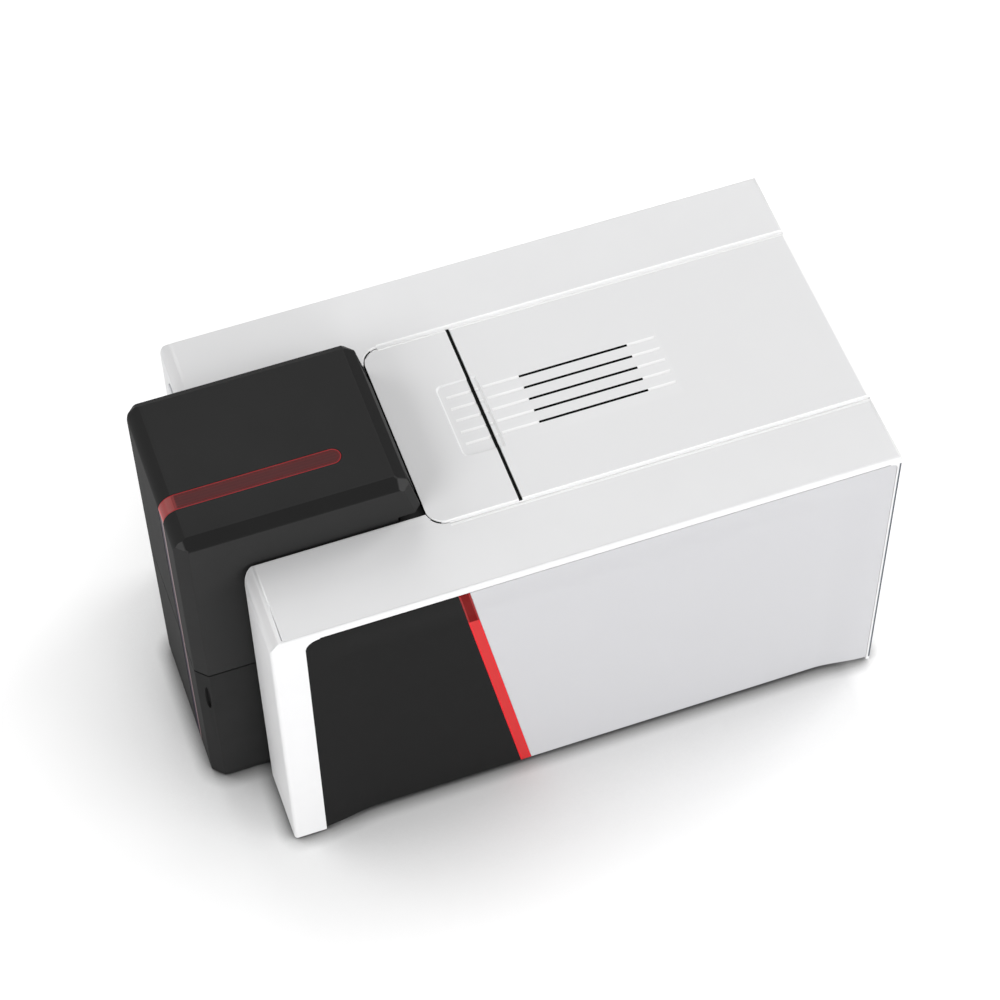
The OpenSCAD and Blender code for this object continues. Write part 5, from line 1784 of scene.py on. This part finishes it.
    def _window(self) -> None:
        """Builds the tinted window that runs over the top edge."""
        _, (y0, _), (z0, z1) = self.limits
        middle = self.bench.middle("feeder_window", Axis.X)
        window = self.window_strip("feeder_window", (z0, z1 + PAST))
        window.bands(self._outward, self.rims)

        # The painted highlight on the bent part fades towards the flat top
        fold_highlight = (
            (3.4, Finishes.WINDOW_FOLD_HIGHLIGHT_BRIGHT),
            (4.5, Finishes.WINDOW_FOLD_HIGHLIGHT_GLOW),
            (7.0, Finishes.WINDOW_FOLD_HIGHLIGHT_LIT),
            (9.0, Finishes.WINDOW_FOLD_HIGHLIGHT_DIM),
        )

        def tint(band: int, c: Vector) -> Finish:
            """Picks the finish of a face.

            Args:
                band: Its band along the window's edge.
                c: Its centre, in mm.

            Returns:
                The finish.
            """
            back = c.y - y0
            if c.z < z1 - self.brow:
                return self.front_painted_light(c, middle)
            if back < self.tip:
                return Finishes.WINDOW_FOLD_HIGHLIGHT_TIP
            if band == 1:
                return Finishes.WINDOW_RIM_PAINTED_HIGHLIGHT
            for reach, finish in fold_highlight:
                if back < reach:
                    return finish
            return Finishes.WINDOW_LINE if band == 3 else Finishes.WINDOW

        self.bench.finish_bands(window, "feeder_window", tint)

    @staticmethod
    def _outward(_: Vector, normal: Vector) -> bool:
        """Tells whether a face looks up or forwards, as a window's outer faces do."""
        return (normal.z > 0.3 or normal.y < -0.3) and abs(normal.x) < 0.5

    def front_painted_light(self, c: Vector, middle: float) -> Finish:
        """The finish of a face centred at c on an upright front whose middle is given: a painted
        glint right of the middle, a painted shade left of it.
        """
        return Finishes.WINDOW_GLINT if c.x > middle + self.glint else Finishes.WINDOW_PAINTED_SHADE_FRONT


def pile(bench: Bench, node: str) -> None:
    """Builds a pile of separate cards that stands for a block.

    Args:
        bench: Where the piece is made.
        node: The block's node.
    """
    card, corner, apart, slip_by = 0.76, 3.18, 0.02, 0.18
    (x0, x1), (y0, y1), (z0, z1) = bench.span(node)
    shape = bmesh.new()
    outline = []
    for cx, cy, start in ((x1, y1, 0), (x0, y1, 90), (x0, y0, 180), (x1, y0, 270)):
        px = cx - math.copysign(corner, cx - (x0 + x1) / 2)
        py = cy - math.copysign(corner, cy - (y0 + y1) / 2)
        for step in range(7):
            t = math.radians(start + 15 * step)
            outline.append((px + corner * math.cos(t), py + corner * math.sin(t)))
    count = round((z1 - z0) / card)
    for i in range(count):
        # Each card lies a touch out of line with the one below
        slip = slip_by * math.sin(2.4 * i) if 0 < i < count - 1 else 0.0
        base = z0 + i * card
        rings = [
            [shape.verts.new((px * 0.999 + slip, py, base + h)) for px, py in outline]
            for h in (apart, card - apart)
        ]
        bridge_loops(shape, rings)
    bench.finish_form(Form(node + "_piece", shape), node, Finishes.CARD)


@dataclass
class Hopper:
    """The output hopper under the feeder, with its side-hinged door.

    Attributes:
        bench: Where the pieces are made.
        feeder: The feeder, whose outer form and window the door carries on.
        hinge: Place of the door's axis along X and Y.
        knuckles: Lowest and highest point of each knuckle.
        knuckle_r: Radius of a knuckle.
        arm_half: Half of the thickness of a knuckle's arm.
        notch: Half of the width and of the height of the finger notch.
        notch_in: How far the notch lies in from the door's right face and from its front.
        notch_z: Height of its middle.
    """

    bench: Bench
    feeder: Feeder
    hinge: tuple[float, float] = (-45.5, -160.0)
    knuckles: tuple[Span, ...] = ((20.0, 30.0), (85.0, 95.0))
    knuckle_r: float = 3.2
    arm_half: float = 3.0
    notch: tuple[float, float] = (1.6, 11.0)
    notch_in: tuple[float, float] = (2.0, 4.4)
    notch_z: float = 85.0

    def build(self) -> None:
        """Builds the door, its window and the tray."""
        self._door()
        self._window()
        # The hopper's darker black is a painted shade
        self.bench.rework("hopper_tray", Finishes.PAINTED_SHADE_BLACK_LOW, edge=0.3)
        self.bench.rework("hopper_hinge_rod", Finishes.STEEL_ROD, edge=0.2)
        pile(self.bench, "output_cards")

    def _door(self) -> None:
        """Builds the door with its knuckles, its groove and its finger notch."""
        (x0, x1), (y0, y1), (z0, z1) = self.bench.span("hopper_door")
        f, (x, y) = self.feeder, self.hinge
        wide = (x0 - PAST, x1 + PAST)
        door = f.gem("hopper_door_piece", 0)
        door.cut(
            f.gem("hollow", f.wall),
            Form.box("over", wide, (y0 - PAST, 0), (z1 - f.seam, 260)),
            Form.box("under", wide, (y0 - PAST, 0), (-60, z0)),
            Form.box("back", wide, (y1, 0), (-60, 260)),
        )
        along = (y - self.arm_half, y + self.arm_half)
        for ends in self.knuckles:
            door.join(Form.box("knuckle_arm", (x0 + f.wall - 0.2, x), along, ends))
            door.join(Form.rod("knuckle", Axis.Z, ends, self.hinge, self.knuckle_r))
        door.cut(Form.rod("bore", Axis.Z, (z0 - 1, z1 + 1), self.hinge, f.bore))
        door.cut(f.window_groove((z0, z1)))
        door.cut(self._notch(x1, y0))
        self.bench.finish_form(door, "hopper_door", Finishes.PAINTED_SHADE_BLACK_LOW)

    def _window(self) -> None:
        """Builds the window strip on the door's front."""
        middle = self.bench.middle("hopper_window", Axis.X)
        heights = self.bench.span("hopper_door")[2]
        window = self.feeder.window_strip("hopper_window", heights)
        self.bench.finish_bands(
            window, "hopper_window", lambda band, c: self.feeder.front_painted_light(c, middle)
        )

    def _notch(self, x1: float, y0: float) -> Form:
        """The slim finger notch that runs down the door's front right edge.

        Args:
            x1: The door's right face.
            y0: The door's front face.

        Returns:
            The cutter, an upright lens square to the chamfer.
        """
        across, up = self.notch
        turns = [math.pi * i / 16 for i in range(17)]
        lens = [(across * math.sin(t), up * math.cos(t)) for t in turns]
        lens += [(-across * math.sin(t), -up * math.cos(t)) for t in turns[1:-1]]
        place = (x1 - self.notch_in[0], y0 + self.notch_in[1], self.notch_z)
        return Form.prism("notch", Axis.X, (-2, 6), lens).turn(-45, place)


@dataclass
class PrintEngine:
    """Frame plates, rollers, ribbon, head, belts and motors.

    Attributes:
        bench: Where the pieces are made.
        shaft: Radius over which a roller is more than its steel shaft.
        collar: Radius over which all that isn't rubber is plastic.
        tacky_half: Half length of the cleaning roller's blue sleeve.
        ceramic: Height of the print head's ceramic strip.
        bar: Height of the bright bars at the foot of its bracket.
        bar_half: Half of their length.
        motor_caps: Lengths of the drive motor's two black ends.
        film_half: Half width of the ribbon on its spools.
        core: Radius of a spool's core.
    """

    bench: Bench
    shaft: float = 2.7
    collar: float = 4.2
    tacky_half: float = 30.0
    ceramic: float = 8.2
    bar: float = 4.2
    bar_half: float = 31.4
    motor_caps: tuple[float, float] = (9.0, 8.0)
    film_half: float = 28.2
    core: float = 7.5

    def build(self) -> None:
        """Builds every piece of the engine."""
        plain = {
            "front_bulkhead": Finishes.MOULDED_DARK,
            "left_frame_plate": Finishes.STEEL_SHEET,
            "right_frame_plate": Finishes.STEEL_SHEET,
            "hinge_crossmember": Finishes.STEEL_SHEET,
            "hood_hinge_pin": Finishes.STEEL_ROD,
            "card_track": Finishes.MOULDED_GREY,
            "shaft_bushes": Finishes.BRASS,
            "motor_pinion": Finishes.STEEL_DULL,
            "takeup_motor": Finishes.STEEL_DULL,
            "ribbon_film": Finishes.DYE_FILM,
            "drive_belts": Finishes.RUBBER_BELT,
        }
        for node, finish in plain.items():
            self.bench.rework(node, finish, edge=0.15)
        self._rollers()
        self._head()
        self._motor()
        self._spools()

    def _off_axis(self, node: str) -> Callable[[Vector], float]:
        """A gauge for how far a face lies from a node's own axis, which runs along X.

        Args:
            node: The node.

        Returns:
            The gauge.
        """
        y, z = self.bench.middle(node, Axis.Y), self.bench.middle(node, Axis.Z)
        return lambda c: math.hypot(c.y - y, c.z - z)

    def _rollers(self) -> None:
        """Dresses each roller: rubber sleeves, plastic pulleys and a steel shaft."""
        sleeves = {
            "feed_roller": 14.0,
            "entry_roller": 23.5,
            "front_transport_roller": 23.5,
            "platen_roller": 26.5,
            "rear_transport_roller": 23.5,
            "tail_roller": 23.5,
        }
        z = self.bench.middle("platen_roller", Axis.Z)
        for node, half in sleeves.items():
            y = self.bench.middle(node, Axis.Y)

            def sleeve(c: Vector, _: Vector, y: float = y, half: float = half) -> bool:
                """Tells whether a face is rubber."""
                return math.hypot(c.y - y, c.z - z) > self.shaft and abs(c.x) <= half

            def pulley(c: Vector, n: Vector, y: float = y) -> bool:
                """Tells whether a face is plastic."""
                off = math.hypot(c.y - y, c.z - z)
                return off > self.collar or (off > self.shaft and abs(n.x) > 0.9)

            rules = [(sleeve, Finishes.RUBBER_ROLLER), (pulley, Finishes.MOULDED_PALE)]
            self.bench.rework(node, Finishes.STEEL_ROD, rules, edge=0.15)
        for node in ("front_pinch_roller", "rear_pinch_roller", "tail_pinch_roller"):
            self.bench.rework(node, Finishes.STEEL_DULL, edge=0.2)
        off = self._off_axis("cleaning_roller")
        tacky = (lambda c, n: off(c) > 2 and abs(c.x) < self.tacky_half, Finishes.RUBBER_TACKY)
        self.bench.rework("cleaning_roller", Finishes.STEEL_ROD, [tacky], edge=0.3)

    def _head(self) -> None:
        """Dresses the print head and its bracket."""
        low = self.bench.span("print_head")[2][0]
        strip = (lambda c, n: c.z < low + self.ceramic, Finishes.CERAMIC)
        self.bench.rework("print_head", Finishes.ALUMINIUM, [strip], edge=0.2)

        def bars(c: Vector, _: Vector) -> bool:
            """Tells whether a face belongs to a bar."""
            return c.z < low + self.bar and abs(c.x) < self.bar_half

        rules = [(bars, Finishes.STEEL_ROD)]
        self.bench.rework("print_head_bracket", Finishes.MOULDED_GREY, rules, edge=0.4)

    def _motor(self) -> None:
        """Dresses the drive motor, with its bright laminated middle."""
        (x0, x1), _, _ = self.bench.span("drive_motor")
        left, right = x0 + self.motor_caps[0], x1 - self.motor_caps[1]
        rules = [(lambda c, n: left < c.x < right, Finishes.ALUMINIUM)]
        self.bench.rework("drive_motor", Finishes.MOTOR_BLACK, rules, edge=0.3)

    def _spools(self) -> None:
        """Dresses the ribbon spools: film between pale flanges."""
        films = {
            "ribbon_supply_spool": Finishes.DYE_FILM,
            "ribbon_takeup_spool": Finishes.USED_FILM,
        }
        for node, film in films.items():
            off = self._off_axis(node)

            def wound(c: Vector, _: Vector, off: Callable[[Vector], float] = off) -> bool:
                """Tells whether a face belongs to the wound film."""
                return abs(c.x) < self.film_half and off(c) > self.core

            self.bench.rework(node, Finishes.MOULDED_PALE, [(wound, film)], edge=0.3)


@dataclass
class Rear:
    """The rear panel with its sockets, the fan and the board behind it, and the base.

    Attributes:
        bench: Where the pieces are made.
        board_t: Height over the main board's foot from which there are chips.
        port_board_t: Height over the sockets' foot up to which there is circuit board.
        pin_half: Half of the size of the box round the power inlet's pin.
        pin_z: Height of that pin.
        pin_end: Rear end of the box.
    """

    bench: Bench
    board_t: float = 1.65
    port_board_t: float = 1.75
    pin_half: float = 1.1
    pin_z: float = 40.0
    pin_end: float = 188.5

    def build(self) -> None:
        """Builds every piece of the rear and the base."""
        board = self.bench.span("main_board")[2][0] + self.board_t
        ports = self.bench.span("data_ports")[2][0] + self.port_board_t
        inlet = self.bench.middle("power_inlet", Axis.X)

        def pin(c: Vector, _: Vector) -> bool:
            """Tells whether a face belongs to the inlet's pin."""
            off = max(abs(c.x - inlet), abs(c.z - self.pin_z))
            return off < self.pin_half and c.y < self.pin_end

        mixed = (
            ("main_board", Finishes.BOARD, (lambda c, n: c.z > board, Finishes.CHIP), 0.15),
            ("data_ports", Finishes.STEEL_SHEET, (lambda c, n: c.z < ports, Finishes.BOARD), 0.15),
            ("power_inlet", Finishes.MOULDED_DARK, (pin, Finishes.STEEL_ROD), 0.2),
        )
        for node, finish, rule, edge in mixed:
            self.bench.rework(node, finish, [rule], edge)
        plain = {
            "base_tray": Finishes.MOULDED_DARK,
            "rubber_feet": Finishes.RUBBER_FOOT,
            "rear_panel": Finishes.MOULDED_DARK,
            "casing_screws": Finishes.STEEL_DULL,
            "cooling_fan": Finishes.MOTOR_BLACK,
            "fan_rotor": Finishes.MOTOR_BLACK,
            "power_switch": Finishes.MOTOR_BLACK,
            "control_button": Finishes.SILVER_PLASTIC,
            "status_lenses": Finishes.LENS,
        }
        for node, finish in plain.items():
            self.bench.rework(node, finish)


# ---------------------------------------------------------------- studio


@dataclass
class Studio:
    """The floor, the world, the lamps and the camera.

    Attributes:
        floor_r: Radius of the floor.
        floor_tint: Grey level of the floor, as it lights the object.
        floor_seen: Grey level of the floor, as the eye sees it.
        floor_lift: Light that the floor adds for the eye where nothing stands over it.
        shade_reach: How far off a thing still shades the floor's added light, as a painted soft
            shadow.
        shade_edge: Open share of the sky at which that light is gone.
        clear_from: Where along Y the painted shadow behind the printer starts to fade, and where it
            ends.
        white_from: Distance at which the floor starts to turn white, and at which it is.
        touch_reach: How far off a thing still darkens the floor itself, as the eye sees it: a
            painted contact shadow.
        touch_edge: Open share of the sky at which the floor is black.
        sky: Level of the world's light on the object.
        eye: The camera's place, in mm.
        right: The camera's right.
        up: The camera's up.
        ahead: Where the camera looks.
        lens: Focal length on a 36 mm sensor.
        lamps: Name, place, side and power in watts of each square lamp.
    """

    floor_r: float = 9000.0
    floor_tint: float = 0.9
    floor_seen: float = 0.695
    floor_lift: float = 0.547
    shade_reach: float = 150.0
    shade_edge: float = 0.418
    clear_from: Span = (172.0, 206.0)
    white_from: Span = (1100.0, 2200.0)
    touch_reach: float = 10.0
    touch_edge: float = 0.25
    sky: float = 0.15
    eye: Point = (914.404, -306.554, 1516.886)
    right: Point = (0.333616, 0.942643, -0.011125)
    up: Point = (-0.774115, 0.280668, 0.567425)
    ahead: Point = (-0.538002, 0.18069, -0.82335)
    lens: float = 110.05
    lamps: tuple[tuple[str, Point, float, float], ...] = (
        ("front_left", (-1100.0, -1900.0, 1500.0), 1300.0, 12.0),
        ("front_right", (1000.0, -1900.0, 1500.0), 1300.0, 22.0),
        ("right_low", (2400.0, 200.0, 700.0), 1400.0, 29.5),
        ("rear_right", (1500.0, 1700.0, 1300.0), 1300.0, 17.0),
        ("left", (-2100.0, 0.0, 1500.0), 1300.0, 15.5),
        ("rear", (-500.0, 2100.0, 1500.0), 1300.0, 29.5),
    )

    def build(self) -> None:
        """Builds the whole studio."""
        scene = bpy.context.scene
        scene.view_settings.view_transform = "Standard"
        self._world(scene)
        self._floor()
        for name, place, side, power in self.lamps:
            self._lamp(name, place, side, power)
        self._camera(scene)

    def _seen(self, graph: Graph) -> Socket:
        """A signal that is 1 for the rays that show the floor and the world to the eye.

        Args:
            graph: The tree.

        Returns:
            The signal, 1 for camera, glossy and transmission rays.
        """
        rays = graph.add("LightPath").outputs
        direct = graph.math("MAXIMUM", rays["Is Camera Ray"], rays["Is Glossy Ray"])
        return graph.math("MAXIMUM", direct, rays["Is Transmission Ray"])

    def _world(self, scene: bpy.types.Scene) -> None:
        """Makes a white world that lights the object at the sky's level.

        Args:
            scene: The scene.
        """
        scene.world = bpy.data.worlds.new("paper_white")
        graph = Graph(scene.world)
        mix = graph.add("MixShader")
        graph.wire(self._seen(graph), mix.inputs["Fac"])
        for slot, strength in ((1, self.sky), (2, 1.0)):
            light = graph.add("Background", Strength=strength, Color=(1, 1, 1, 1))
            graph.wire(light.outputs[0], mix.inputs[slot])
        out = graph.add("OutputWorld")
        graph.wire(mix.outputs[0], out.inputs["Surface"])

    def _floor(self) -> None:
        """Makes the pale floor: the lamps' real shadows, with a painted shadow from ambient
        occlusion for the eye, faded out behind the printer.
        """
        shape = bmesh.new()
        bmesh.ops.create_circle(shape, cap_ends=True, radius=self.floor_r, segments=96)
        floor = Form("floor", shape).obj
        paper = bpy.data.materials.new("floor_paper")
        graph = Graph(paper)
        place = graph.add("TexCoord").outputs["Object"]
        seen = self._seen(graph)
        # Ambient occlusion drives a painted shadow that only the eye sees
        wide = self._open(graph, self.shade_reach, self.shade_edge)
        touch = self._open(graph, self.touch_reach, self.touch_edge)
        split = graph.add("SeparateXYZ")
        graph.wire(place, split.inputs[0])
        behind = graph.ramp(split.outputs["Y"], since=self._metres(self.clear_from))
        graph.wire(behind, wide.node.inputs["To Min"])
        grey = graph.blend(seen, (self.floor_tint,) * 3, (0.0,) * 3)
        shown = graph.blend(touch, (0.0,) * 3, (self.floor_seen,) * 3)
        graph.wire(shown, grey.node.inputs["B"])
        matt = graph.add("BsdfDiffuse")
        graph.wire(grey, matt.inputs["Color"])
        bright = graph.math("MULTIPLY", graph.math("MULTIPLY", seen, wide), touch)
        # Far off, where the lamps fade, the floor stays as white as the world
        away = graph.add("VectorMath")
        away.operation = "LENGTH"
        graph.wire(place, away.inputs[0])
        far = graph.ramp(away.outputs["Value"], since=self._metres(self.white_from))
        white = graph.math("MULTIPLY", seen, far)
        lift = graph.add("Emission")
        lifted = graph.ramp(bright, (0.0, self.floor_lift))
        graph.wire(graph.math("ADD", lifted, white), lift.inputs["Strength"])
        both = graph.add("AddShader")
        graph.wire(matt.outputs[0], both.inputs[0])
        graph.wire(lift.outputs[0], both.inputs[1])
        out = graph.add("OutputMaterial")
        graph.wire(both.outputs[0], out.inputs["Surface"])
        floor.data.materials.append(paper)

    @staticmethod
    def _metres(limits: Span) -> Span:
        """Two places in millimetres, turned into metres."""
        return (limits[0] * MM, limits[1] * MM)

    def _open(self, graph: Graph, reach: float, edge: float) -> Socket:
        """A signal that is 1 under an open sky and 0 where things stand over the floor, for the
        painted shadow.

        Args:
            graph: The floor's tree.
            reach: How far off a thing still counts, in mm.
            edge: Open share of the sky at which the signal is 0.

        Returns:
            The signal.
        """
        near = graph.add("AmbientOcclusion", Distance=reach * MM)
        near.samples = 12
        return graph.ramp(near.outputs["AO"], since=(edge, 1.0))

    def _lamp(self, name: str, place: Point, side: float, power: float) -> None:
        """Hangs one square soft lamp, aimed at the object.

        Args:
            name: The lamp's name.
            place: Its place, in mm.
            side: Length of its side, in mm.
            power: Its power, in watts.
        """
        data = bpy.data.lights.new(name, "AREA")
        data.shape = "SQUARE"
        data.size = side * MM
        data.energy = power
        lamp = bpy.data.objects.new(name, data)
        bpy.context.scene.collection.objects.link(lamp)
        lamp.location = Vector(place) * MM
        aim = Vector((0, 0, 0.1)) - lamp.location
        lamp.rotation_euler = aim.to_track_quat("-Z", "Y").to_euler()

    def _camera(self, scene: bpy.types.Scene) -> None:
        """Places the camera.

        Args:
            scene: The scene.
        """
        data = bpy.data.cameras.new("camera")
        data.lens = self.lens
        data.sensor_width = 36.0
        data.clip_end = 100.0
        camera = bpy.data.objects.new("camera", data)
        scene.collection.objects.link(camera)
        turn = Matrix([self.right, self.up, [-v for v in self.ahead]]).transposed()
        camera.matrix_world = Matrix.Translation(Vector(self.eye) * MM) @ turn.to_4x4()
        scene.camera = camera


def main() -> None:
    """Builds the printer's looks and the studio."""
    logging.basicConfig(level=logging.INFO, format="%(message)s")
    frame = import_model()
    bench = Bench(frame)
    band = TopBand(bench)
    feeder = Feeder(bench)
    shells, hopper = SideShells(bench, band), Hopper(bench, feeder)
    for part in (shells, band, feeder, hopper, PrintEngine(bench), Rear(bench)):
        part.build()
        log.info("%s done", type(part).__name__)
    Studio().build()


if __name__ == "__main__":
    main()
